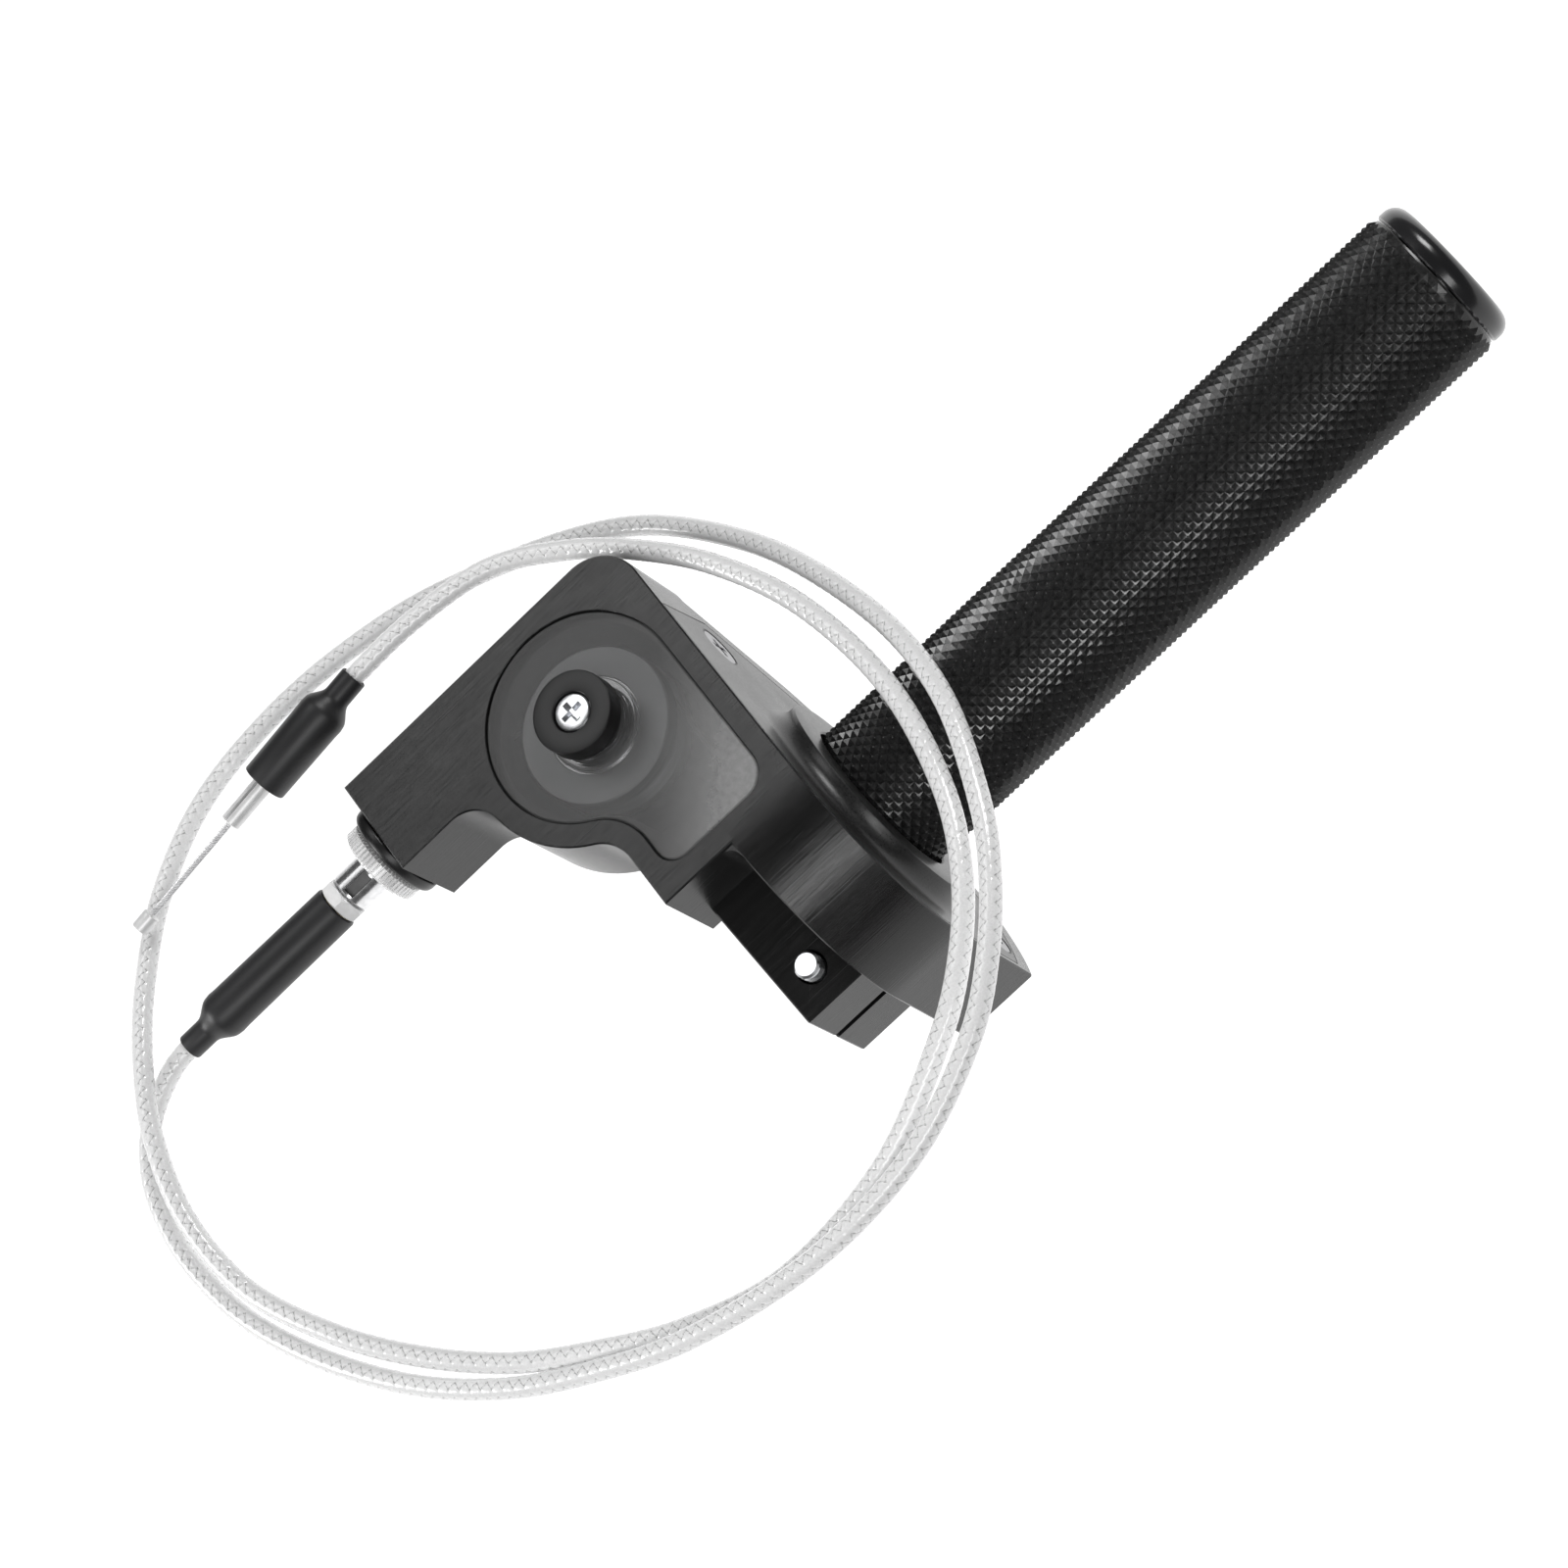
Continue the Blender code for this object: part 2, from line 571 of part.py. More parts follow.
def pulley_bearing():
    look = material("bearing_steel", BRIGHT_METAL, 0.2, 1.0)
    span = (PULLEY_BACK + GAP, PULLEY_HUB_FRONT - GAP)
    ring("pulley_bearing", POST_RADIUS + GAP, BEARING_RADIUS, *span, PULLEY_CENTRE, "Z", look)


def pulley_axle():
    look = material("post_steel", (0.55, 0.56, 0.58, 1.0), 0.3, 1.0)
    collar = POST_RADIUS + 1.2
    seat = POCKET_FLOOR + GAP
    foot = HOUSING_BACK + GAP
    profile = [(foot, 0.0), (foot, POST_RADIUS), (seat, POST_RADIUS), (seat, collar)]
    profile += [(PULLEY_BACK, collar), (PULLEY_BACK, POST_RADIUS)]
    profile += [(WINDOW_FRONT, POST_RADIUS), (WINDOW_FRONT, 0.0)]
    post = turned("pulley_axle", profile, PULLEY_CENTRE, "Z", look)
    cut(post, rod("post_thread_hole", 1.8, 21.0, WINDOW_FRONT + 1.0, PULLEY_CENTRE, "Z", None, TINY_ROUND))


def axle_knob():
    look = material("knob_black_plastic", (0.02, 0.02, 0.021, 1.0), 0.35, 0.0)
    bevel = 0.5
    profile = [
        (KNOB_START, 1.8),
        (KNOB_START, KNOB_RADIUS),
        (KNOB_END - bevel, KNOB_RADIUS),
        (KNOB_END, KNOB_RADIUS - bevel),
        (KNOB_END, 3.75),
        (KNOB_END - 1.9, 3.75),
        (KNOB_END - 1.9, 1.8),
    ]
    turned("axle_knob", profile, PULLEY_CENTRE, "Z", look)


def knob_screw():
    look = material("screw_bright", BRIGHT_METAL, 0.2, 1.0)
    under = KNOB_END - 1.9 + GAP
    top = KNOB_END - 0.1
    profile = [(22.0, 0.0), (22.0, 1.5), (under, 1.5), (under, 3.45)]
    profile += [(top - 0.4, 3.45), (top, 3.0), (top, 0.0)]
    screw = turned("knob_screw", profile, PULLEY_CENTRE, "Z", look)
    cut(screw, cross_recess("knob_screw_cross", PULLEY_CENTRE, top, "Z", 2.1, 0.9, 1.0))


# ---------------------------------------------------------------- rotor

def throttle_tube():
    look = material("grip_black_anodised", BLACK_METAL, 0.35, 0.9)
    profile = [
        (TUBE_START, TUBE_BORE_RADIUS),
        (TUBE_START, TUBE_SEAT_RADIUS),
        (GRIP_START, TUBE_SEAT_RADIUS),
        (GRIP_START, GRIP_RADIUS),
        (GRIP_END, GRIP_RADIUS),
        (GRIP_END, TUBE_BORE_RADIUS),
    ]
    turned("throttle_tube", profile, (0, 0), "X", look, BIG_ROUND)


def end_cap():
    look = material("cap_black_gloss", (0.015, 0.015, 0.016, 1.0), 0.2, 0.5)
    start = GRIP_END + GAP
    plug = TUBE_BORE_RADIUS - GAP
    shoulder = (CAP_END - CAP_ROUNDING, CAP_RADIUS - CAP_ROUNDING)
    edge = arc(shoulder, CAP_ROUNDING, 90.0, 0.0)[::2] + [(CAP_END, CAP_RADIUS - CAP_ROUNDING)]
    profile = [(GRIP_END - CAP_PLUG_LENGTH, 0.0), (GRIP_END - CAP_PLUG_LENGTH, plug), (start, plug)]
    profile += [(start, CAP_RADIUS)] + edge + [(CAP_END, 0.0)]
    turned("end_cap", profile, (0, 0), "X", look, BIG_ROUND)


def anchor_centre():
    angle = math.radians(ANCHOR_ANGLE)
    return (DRUM_WIRE_RADIUS * math.cos(angle), DRUM_WIRE_RADIUS * math.sin(angle))


def cable_drum():
    look = material("drum_white_plastic", (0.45, 0.45, 0.43, 1.0), 0.5, 0.0)
    bottom = DRUM_WIRE_RADIUS - WIRE_RADIUS - GAP
    web = DRUM_WIRE_X + 2.3
    profile = [
        (DRUM_START, TUBE_SEAT_RADIUS + GAP),
        (DRUM_START, DRUM_FLANGE_RADIUS),
        (DRUM_WIRE_X - GROOVE_HALF_WIDTH, DRUM_FLANGE_RADIUS),
        (DRUM_WIRE_X - GROOVE_HALF_WIDTH, bottom),
        (DRUM_WIRE_X + GROOVE_HALF_WIDTH, bottom),
        (DRUM_WIRE_X + GROOVE_HALF_WIDTH, DRUM_FLANGE_RADIUS),
        (web, DRUM_FLANGE_RADIUS),
        (web, DRUM_HUB_RADIUS),
        (DRUM_END, DRUM_HUB_RADIUS),
        (DRUM_END, TUBE_SEAT_RADIUS + GAP),
    ]
    drum = turned("cable_drum", profile, (0, 0), "X", look, BIG_ROUND)
    hole_span = (DRUM_START - 1.0, web + 1.0)
    cut(drum, rod("nipple_hole", NIPPLE_RADIUS + GAP, *hole_span, anchor_centre(), "X", None, TINY_ROUND))


def drum_washer():
    look = material("washer_nylon", (0.5, 0.5, 0.48, 1.0), 0.5, 0.0)
    low = DRUM_END + 0.15
    ring("drum_washer", BOSS_BORE_RADIUS + 0.5, 22.0, low, low + 0.6, (0, 0), "X", look, BIG_ROUND)


def inner_wire_wrap():
    look = material("wire_steel", (0.6, 0.6, 0.62, 1.0), 0.3, 1.0)
    covered = math.degrees((NIPPLE_RADIUS + GAP + WIRE_RADIUS) / DRUM_WIRE_RADIUS)
    outline = arc((0, 0), DRUM_WIRE_RADIUS, 91.5, ANCHOR_ANGLE - covered)
    tube("inner_wire_wrap", [(DRUM_WIRE_X, y, z) for y, z in outline], WIRE_RADIUS, look, 2)


def drum_nipple():
    look = material("nipple_zinc", (0.5, 0.51, 0.52, 1.0), 0.4, 1.0)
    rod("drum_nipple", NIPPLE_RADIUS, DRUM_START, DRUM_WIRE_X + 2.3, anchor_centre(), "X", look, TINY_ROUND)


# ---------------------------------------------------------------- adjuster on the arm

def inner_wire_run():
    look = material("wire_run_steel", (0.6, 0.6, 0.62, 1.0), 0.3, 1.0)
    over_pulley = arc(PULLEY_CENTRE, PULLEY_WIRE_RADIUS, 0.0, 90.0)
    outline = [(DRUM_WIRE_X, 0.4), (DRUM_WIRE_X, 18.0)] + over_pulley
    outline += [(ARM_END, ADJUSTER_Y), (CABLE_START + GAP, ADJUSTER_Y)]
    tube("inner_wire_run", [(x, y, WIRE_Z) for x, y in outline], WIRE_RADIUS, look, 2)


def flange_washer():
    look = material("collar_black", BLACK_METAL, 0.35, 0.6)
    face, back, radius = COLLAR
    inner = THREAD_RADIUS + GAP
    profile = [(back, inner), (back, radius - 0.8), (back + 0.8, radius), (face - 0.4, radius)]
    profile += [(face, radius - 0.4), (face, inner)]
    turned("flange_washer", profile, (ADJUSTER_Y, WIRE_Z), "X", look)


def knurled_lock_nut():
    look = material("lock_nut_silver", BRIGHT_METAL, 0.25, 1.0)
    face, back, radius = LOCK_NUT
    inner = THREAD_RADIUS + GAP
    profile = [(back, inner), (back, radius - 0.5), (back + 0.5, radius), (face - 0.5, radius)]
    profile += [(face, radius - 0.5), (face, inner)]
    turned("knurled_lock_nut", profile, (ADJUSTER_Y, WIRE_Z), "X", look)


def cable_adjuster():
    look = material("adjuster_silver", BRIGHT_METAL, 0.2, 1.0)
    face, back, radius = ADJUSTER_HEAD
    profile = [
        (ADJUSTER_TAIL, WIRE_BORE_RADIUS),
        (ADJUSTER_TAIL, TAIL_RADIUS),
        (back, TAIL_RADIUS),
        (back, radius),
        (face, radius),
        (face, THREAD_RADIUS),
        (ADJUSTER_INSIDE, THREAD_RADIUS),
        (ADJUSTER_INSIDE, WIRE_BORE_RADIUS),
    ]
    adjuster = turned("cable_adjuster", profile, (ADJUSTER_Y, WIRE_Z), "X", look)
    angle, floor, half_width = ADJUSTER_SLOT
    slot = slab((ADJUSTER_Y, WIRE_Z), angle, floor, radius + 1.0, half_width)
    cut(adjuster, prism("adjuster_slot", slot, back + 0.8, face - 0.8, "X"))


def adjuster_hex_nut():
    look = material("hex_nut_bright", BRIGHT_METAL, 0.15, 1.0)
    face, back, across_flats = HEX_NUT
    corner_radius = across_flats / 2 / math.cos(math.radians(30.0))
    outline = circle((ADJUSTER_Y, WIRE_Z), corner_radius, 6)
    nut = prism("adjuster_hex_nut", outline, back, face, "X", look)
    hole = rod("hex_nut_hole", TAIL_RADIUS + GAP, back - 1.0, face + 1.0, (ADJUSTER_Y, WIRE_Z), "X")
    cut(nut, hole)


def cable_ferrule():
    look = material("ferrule_brass", (0.55, 0.42, 0.2, 1.0), 0.35, 1.0)
    front, back, radius = FERRULE
    socket = CABLE_RADIUS + GAP
    profile = [
        (back, socket),
        (back, radius),
        (front, radius),
        (front, WIRE_BORE_RADIUS),
        (CABLE_START + GAP, WIRE_BORE_RADIUS),
        (CABLE_START + GAP, socket),
    ]
    turned("cable_ferrule", profile, (ADJUSTER_Y, WIRE_Z), "X", look)


def boot_profile(stations, cavity_end, cavity_radius):
    """A hollow boot along +X: open end at zero, body, shoulder, taper and neck."""
    start, shoulder, neck, end = stations
    bore = CABLE_RADIUS + GAP
    return [
        (start, cavity_radius),
        (start, BOOT_BODY_RADIUS - 0.3),
        (start + 0.4, BOOT_BODY_RADIUS),
        (shoulder - 0.5, BOOT_SHOULDER_RADIUS),
        (shoulder + 0.3, BOOT_SHOULDER_RADIUS - 0.2),
        (neck - 0.5, BOOT_NECK_RADIUS + 0.15),
        (neck + 0.4, BOOT_NECK_RADIUS),
        (end - 0.3, BOOT_NECK_RADIUS),
        (end, BOOT_NECK_RADIUS - 0.2),
        (end, bore),
        (cavity_end, bore),
        (cavity_end, cavity_radius),
    ]


def adjuster_boot():
    look = material("boot_rubber", BLACK_RUBBER, 0.5, 0.0)
    cavity_end = BOOT_OPEN_X - FERRULE[1] + GAP
    profile = boot_profile(BOOT_STATIONS, cavity_end, FERRULE[2] + GAP)
    boot = turned("adjuster_boot", profile, (0, 0), "X", look)
    aim(boot, Vector((BOOT_OPEN_X, ADJUSTER_Y, WIRE_Z)), Vector((-1.0, 0.0, 0.0)))


# ---------------------------------------------------------------- cable and its far end

def carb_point(distance):
    return CARB_START + CARB_DIRECTION * distance


def smooth_route():
    """Evenly spaced points of the curve through the cable's route, from the ferrule to the far boot."""
    stops = [Vector(point) for point in CABLE_ROUTE] + [carb_point(0.0), carb_point(CARB_CABLE_END)]
    dense = []
    for index in range(len(stops) - 1):
        here = stops[index]
        after = stops[index + 1]
        before = stops[index - 1] if index else here * 2 - after
        beyond = stops[index + 2] if index + 2 < len(stops) else after * 2 - here
        for step in range(40):
            t = step / 40
            point = here * 2 + (after - before) * t
            point += (before * 2 - here * 5 + after * 4 - beyond) * t ** 2
            point += (here * 3 - before - after * 3 + beyond) * t ** 3
            dense.append(point / 2)
    dense.append(stops[-1])
    lengths = [0.0]
    for before, after in zip(dense, dense[1:]):
        lengths.append(lengths[-1] + (after - before).length)
    count = round(lengths[-1] / CABLE_STEP)
    route = []
    index = 0
    for number in range(count + 1):
        wanted = lengths[-1] * number / count
        while index < len(dense) - 2 and lengths[index + 1] < wanted:
            index += 1
        share = (wanted - lengths[index]) / (lengths[index + 1] - lengths[index])
        route.append(dense[index].lerp(dense[index + 1], share))
    return route


def outer_cable():
    look = material("cable_clear_braid", (0.7, 0.71, 0.72, 1.0), 0.3, 0.0)
    tube("outer_cable", smooth_route(), CABLE_RADIUS, look)


def carb_end_boot():
    look = material("carb_boot_rubber", BLACK_RUBBER, 0.5, 0.0)
    stations = (0.0, CARB_BOOT_LENGTH - 9.6, CARB_BOOT_LENGTH - 5.0, CARB_BOOT_LENGTH)
    cavity_end = CARB_BOOT_LENGTH - CARB_SLEEVE[0] + GAP
    profile = boot_profile(stations, cavity_end, CARB_SLEEVE_HEAD[1] + GAP)
    boot = turned("carb_end_boot", profile, (0, 0), "X", look)
    aim(boot, carb_point(CARB_BOOT_LENGTH), -CARB_DIRECTION)


def carb_end_sleeve():
    look = material("sleeve_silver", BRIGHT_METAL, 0.2, 1.0)
    start, end = CARB_SLEEVE
    head_end, head_radius = CARB_SLEEVE_HEAD
    profile = [
        (start, CARB_SLEEVE_BORE),
        (start, head_radius),
        (head_end, head_radius),
        (head_end, CARB_SLEEVE_RADIUS),
        (end, CARB_SLEEVE_RADIUS),
        (end, CARB_SLEEVE_BORE),
    ]
    sleeve = turned("carb_end_sleeve", profile[::-1], (0, 0), "X", look, TINY_ROUND)
    aim(sleeve, CARB_START, CARB_DIRECTION)


def carb_inner_wire():
    look = material("carb_wire_steel", (0.7, 0.7, 0.72, 1.0), 0.3, 1.0)
    start, end = CARB_WIRE
    wire = rod("carb_inner_wire", WIRE_RADIUS, start, end - 0.4, (0, 0), "X", look, 8)
    aim(wire, CARB_START, CARB_DIRECTION)


def carb_nipple():
    look = material("carb_nipple_zinc", BRIGHT_METAL, 0.3, 1.0)
    start, end = CARB_NIPPLE
    nipple = rod("carb_nipple", CARB_NIPPLE_RADIUS, start, end, (0, 0), "X", look, TINY_ROUND)
    aim(nipple, CARB_START, CARB_DIRECTION)


def main():
    clear_scene()
    main_housing()
    window_cover()
    drum_cover()
    cover_screws()
    pinch_bolt()
    pulley_wheel()
    pulley_bearing()
    pulley_axle()
    axle_knob()
    knob_screw()
    throttle_tube()
    end_cap()
    cable_drum()
    drum_washer()
    inner_wire_wrap()
    drum_nipple()
    inner_wire_run()
    flange_washer()
    knurled_lock_nut()
    cable_adjuster()
    adjuster_hex_nut()
    cable_ferrule()
    adjuster_boot()
    outer_cable()
    carb_end_boot()
    carb_end_sleeve()
    carb_inner_wire()
    carb_nipple()


main()
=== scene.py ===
import math

import bmesh
import bpy
from mathutils import Matrix, Vector


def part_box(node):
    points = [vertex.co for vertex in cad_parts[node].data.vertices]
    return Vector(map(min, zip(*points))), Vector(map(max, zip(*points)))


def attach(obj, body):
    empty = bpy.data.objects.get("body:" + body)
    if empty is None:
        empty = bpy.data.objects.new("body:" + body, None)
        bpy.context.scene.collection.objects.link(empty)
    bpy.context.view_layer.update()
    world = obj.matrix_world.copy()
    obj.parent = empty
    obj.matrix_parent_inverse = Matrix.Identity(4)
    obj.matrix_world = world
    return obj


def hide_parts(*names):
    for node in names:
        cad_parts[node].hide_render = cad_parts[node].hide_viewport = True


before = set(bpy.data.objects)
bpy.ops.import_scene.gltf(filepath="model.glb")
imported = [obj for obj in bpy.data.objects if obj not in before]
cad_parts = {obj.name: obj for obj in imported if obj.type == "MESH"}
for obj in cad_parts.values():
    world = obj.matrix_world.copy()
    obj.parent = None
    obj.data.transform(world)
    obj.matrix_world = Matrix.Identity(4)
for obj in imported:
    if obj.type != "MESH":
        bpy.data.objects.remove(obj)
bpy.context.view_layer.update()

# Lengths below are in millimetres and turn into metres where a mesh is made.
MM = 0.001


def box_of(node):
    """A CAD node's lowest and highest corners, in millimetres."""
    return [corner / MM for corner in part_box(node)]


# The frame's places that the pieces are built from; the bar's axis is the X axis.
GRIP_BOX = box_of("throttle_tube")
CAP_BOX = box_of("end_cap")
PULLEY_BOX = box_of("pulley_wheel")
KNOB_BOX = box_of("axle_knob")
KNOB_SCREW_BOX = box_of("knob_screw")
COLLAR_BOX = box_of("flange_washer")
LOCK_NUT_BOX = box_of("knurled_lock_nut")
ADJUSTER_BOX = box_of("cable_adjuster")
HEX_NUT_BOX = box_of("adjuster_hex_nut")
HOUSING_BOX = box_of("main_housing")
BAR_AXIS = (0.0, 0.0)
PULLEY_CENTRE = tuple((PULLEY_BOX[0] + PULLEY_BOX[1]).to_2d() / 2)
ADJUSTER_LINE = tuple((low + high) / 2 for low, high in zip(*LOCK_NUT_BOX))[1:]
WIRE_Z = ADJUSTER_LINE[1]

# The case lies between two planes along Z; the drum chamber and the clamp lie between planes along X.
HOUSING_BACK = 11.5
HOUSING_FRONT = 30.5
CHAMBER_START = 7.0
CHAMBER_FACE = 23.5
CHAMBER_RADIUS = 43.4
CHAMBER_ROUND_END = -22.4
CLAMP_START = -5.5
CLAMP_RADIUS = 17.8
WALL_BOTTOM = -2.3

# Chamfers round the case's edges, how deep its blocks overlap, and how far cutters reach past a face
EDGE = 0.35
CRISP_EDGE = 0.28
OVERLAP = 1.0
OVERSHOOT = 1.0

# Floors and radii of what is cut into the case
WINDOW_FLOOR = 27.7
POCKET_FLOOR = 14.0
COVER_FLOOR = 20.7
DRUM_CAVITY = 25.8
DRUM_CAVITY_START = 9.5
BAR_BORE = 11.2
PINCH_HOLE = 2.95
PINCH_SEAT_HOLE = 4.9
ADJUSTER_HOLE = 3.3
WIRE_WAY = 2.2
POST_HOLE = 2.8
SCREW_HOLE = 2.2

# Where the screws of the cover plate (Y, Z) and the pinch bolt (X, Y) stand
COVER_SCREWS = ((38.6, 11.1), (-22.5, -25.5), (22.0, -26.0))
PINCH_BOLT = (1.2, -21.3)
PINCH_SEAT = -11.7


# ---- shapes

def polar(centre, radius, angle):
    """The point of a circle at an angle in radians."""
    return (centre[0] + radius * math.cos(angle), centre[1] + radius * math.sin(angle))


def arc(centre, radius, start, end, step=4.0):
    """Points of an arc from one angle to another, in degrees, both ends included."""
    count = max(2, math.ceil(abs(end - start) / step))
    angles = [math.radians(start + (end - start) * i / count) for i in range(count + 1)]
    return [polar(centre, radius, angle) for angle in angles]


def circle(centre, radius, count):
    """Points spaced evenly round a circle."""
    angles = [math.tau * i / count for i in range(count)]
    return [polar(centre, radius, angle) for angle in angles]


def rectangle(low, high):
    """The four corners between a lowest and a highest corner."""
    return [(low[0], low[1]), (high[0], low[1]), (high[0], high[1]), (low[0], high[1])]


def bearing(start, end):
    """The angle in degrees from one point towards another."""
    return math.degrees(math.atan2(end[1] - start[1], end[0] - start[0]))


def slab(centre, angle, low, high, half_width):
    """A rectangle that reaches from one distance to another in the direction of an angle."""
    cosine = math.cos(math.radians(angle))
    sine = math.sin(math.radians(angle))
    corners = rectangle((low, -half_width), (high, half_width))
    return [(centre[0] + a * cosine - b * sine, centre[1] + a * sine + b * cosine) for a, b in corners]


def inset(outline, distance):
    """The outline moved inwards by a distance; it runs anticlockwise."""
    moved = []
    for index, point in enumerate(outline):
        before = Vector(outline[index - 1])
        here = Vector(point)
        after = Vector(outline[(index + 1) % len(outline)])
        arriving = (here - before).normalized()
        leaving = (after - here).normalized()
        normal_in = Vector((-arriving.y, arriving.x))
        normal_out = Vector((-leaving.y, leaving.x))
        middle = normal_in + normal_out
        moved.append(tuple(here + middle * distance / (1.0 + normal_in.dot(normal_out))))
    return moved


def on_axis(u, v, along, axis):
    """An outline's point at a distance along an axis, in metres."""
    if axis == "X":
        return Vector((along, u, v)) * MM
    return Vector((u, v, along)) * MM


def make_object(name, mesh, look, sharp=30.0):
    """Links an object to the scene, smooth but for edges sharper than an angle in degrees."""
    mesh.shade_smooth()
    mesh.set_sharp_from_angle(angle=math.radians(sharp))
    item = bpy.data.objects.new(name, mesh)
    bpy.context.scene.collection.objects.link(item)
    if look:
        mesh.materials.append(look)
    return item


def finish_shape(name, shape, look, sharp=30.0):
    """Turns a bmesh into an object, with its faces pointing outwards."""
    bmesh.ops.recalc_face_normals(shape, faces=shape.faces)
    mesh = bpy.data.meshes.new(name)
    shape.to_mesh(mesh)
    shape.free()
    return make_object(name, mesh, look, sharp)


def bridge(shape, rings):
    """Adds faces between each ring of vertices and the next."""
    for lower, upper in zip(rings, rings[1:]):
        for index, corner in enumerate(lower):
            after = (index + 1) % len(lower)
            shape.faces.new((corner, lower[after], upper[after], upper[index]))


def bridge_and_close(shape, rings):
    """Adds faces between the rings and a flat face at either end."""
    bridge(shape, rings)
    shape.faces.new(list(reversed(rings[0])))
    shape.faces.new(rings[-1])


def loft(name, rings, look):
    """A solid through rings of points of equal count, closed by flat ends."""
    shape = bmesh.new()
    bridge_and_close(shape, [[shape.verts.new(point) for point in ring] for ring in rings])
    return finish_shape(name, shape, look)


def closed_loft(name, rings, look, sharp):
    """A solid with a hole through it: each ring joins the next, and the last joins the first."""
    shape = bmesh.new()
    loops = [[shape.verts.new(point) for point in ring] for ring in rings]
    bridge(shape, loops + loops[:1])
    return finish_shape(name, shape, look, sharp)


def stacked(name, stations, axis, look=None):
    """A solid through (outline, distance along) stations."""
    rings = [[on_axis(u, v, along, axis) for u, v in outline] for outline, along in stations]
    return loft(name, rings, look)


def prism(name, outline, low, high, axis="Z", look=None, chamfer_low=0.0, chamfer_high=0.0):
    """An outline extruded along an axis, with a chamfer round either end."""
    stations = [(outline, low + chamfer_low), (outline, high - chamfer_high)]
    if chamfer_low:
        stations.insert(0, (inset(outline, chamfer_low), low))
    if chamfer_high:
        stations.append((inset(outline, chamfer_high), high))
    return stacked(name, stations, axis, look)


def flared(name, outline, low, face, reach, axis="Z"):
    """A cutter whose mouth opens by a small chamfer at the face that it cuts through."""
    wide = inset(outline, -reach)
    stations = [(outline, low), (outline, face - reach), (wide, face), (wide, face + OVERSHOOT)]
    return stacked(name, stations, axis)


def turned(name, profile, centre, axis, look, segments):
    """A closed profile of (distance along, radius) points, turned about an axis."""
    shape = bmesh.new()
    rings = []
    for along, radius in profile:
        if radius == 0.0:
            rings.append([shape.verts.new(on_axis(centre[0], centre[1], along, axis))])
            continue
        outline = circle(centre, radius, segments)
        rings.append([shape.verts.new(on_axis(u, v, along, axis)) for u, v in outline])
    for lower, upper in zip(rings, rings[1:] + rings[:1]):
        if len(lower) == 1 and len(upper) == 1:
            continue
        for index in range(segments):
            after = (index + 1) % segments
            corners = [lower[index % len(lower)], lower[after % len(lower)]]
            corners += [upper[after % len(upper)], upper[index % len(upper)]]
            shape.faces.new(list(dict.fromkeys(corners)))
    return finish_shape(name, shape, look)


def eased(profile, radius):
    """A profile with each of its corners rounded; points on the axis keep their corner."""
    steps = 3
    points = [Vector(point) for point in profile]
    smooth = []
    for index, here in enumerate(points):
        before = points[index - 1]
        after = points[(index + 1) % len(points)]
        back = before - here
        ahead = after - here
        if here.y == 0.0:
            smooth.append(tuple(here))
            continue
        reach = min(radius, back.length * 0.45, ahead.length * 0.45)
        start = here + back.normalized() * reach
        end = here + ahead.normalized() * reach
        for step in range(steps + 1):
            t = step / steps
            smooth.append(tuple(start * (1 - t) ** 2 + here * 2 * t * (1 - t) + end * t ** 2))
    return smooth


def combine(target, tool, operation):
    """Joins the tool to the target or cuts it away, at once, and removes the tool."""
    boolean = target.modifiers.new(tool.name, "BOOLEAN")
    boolean.operation = operation
    boolean.solver = "EXACT"
    boolean.object = tool
    graph = bpy.context.evaluated_depsgraph_get()
    mesh = bpy.data.meshes.new_from_object(target.evaluated_get(graph))
    target.modifiers.clear()
    target.data = mesh
    bpy.data.objects.remove(tool)


def cut(target, tool):
    """Cuts the tool out of the target."""
    combine(target, tool, "DIFFERENCE")


def join(target, tool):
    """Adds the tool to the target."""
    combine(target, tool, "UNION")


def bore(target, radius, low, high, centre, axis, segments=48):
    """Cuts a round hole."""
    profile = [(low, 0.0), (low, radius), (high, radius), (high, 0.0)]
    cut(target, turned("bore", profile, centre, axis, None, segments))


def settle(item, sharp=30.0):
    """Shades a finished Boolean result."""
    item.data.shade_smooth()
    item.data.set_sharp_from_angle(angle=math.radians(sharp))
    return item


def aim(item, start, direction):
    """Turns a mesh made along +X to start at a point in millimetres and run along a direction."""
    turn = Vector((1.0, 0.0, 0.0)).rotation_difference(direction).to_matrix().to_4x4()
    item.data.transform(Matrix.Translation(start * MM) @ turn)


def place(item, body, node):
    """The piece stands for a CAD node, whose mesh is hidden, and rides on a body."""
    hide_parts(node)
    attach(item, body)
    return item


def smooth_curve(stops, step):
    """Evenly spaced points along the smooth curve through the stops."""
    pieces = 40
    dense = []
    for index in range(len(stops) - 1):
        here = stops[index]
        after = stops[index + 1]
        before = stops[index - 1] if index else here * 2 - after
        beyond = stops[index + 2] if index + 2 < len(stops) else after * 2 - here
        for number in range(pieces):
            t = number / pieces
            point = here * 2 + (after - before) * t
            point += (before * 2 - here * 5 + after * 4 - beyond) * t ** 2
            point += (here * 3 - before - after * 3 + beyond) * t ** 3
            dense.append(point / 2)
    dense.append(stops[-1])
    lengths = [0.0]
    for before, after in zip(dense, dense[1:]):
        lengths.append(lengths[-1] + (after - before).length)
    count = round(lengths[-1] / step)
    route = []
    index = 0
    for number in range(count + 1):
        wanted = lengths[-1] * number / count
        while index < len(dense) - 2 and lengths[index + 1] < wanted:
            index += 1
        share = (wanted - lengths[index]) / (lengths[index + 1] - lengths[index])
        route.append(dense[index].lerp(dense[index + 1], share))
    return route


def route_length(route):
    """The length of a line through points."""
    return sum((after - before).length for before, after in zip(route, route[1:]))


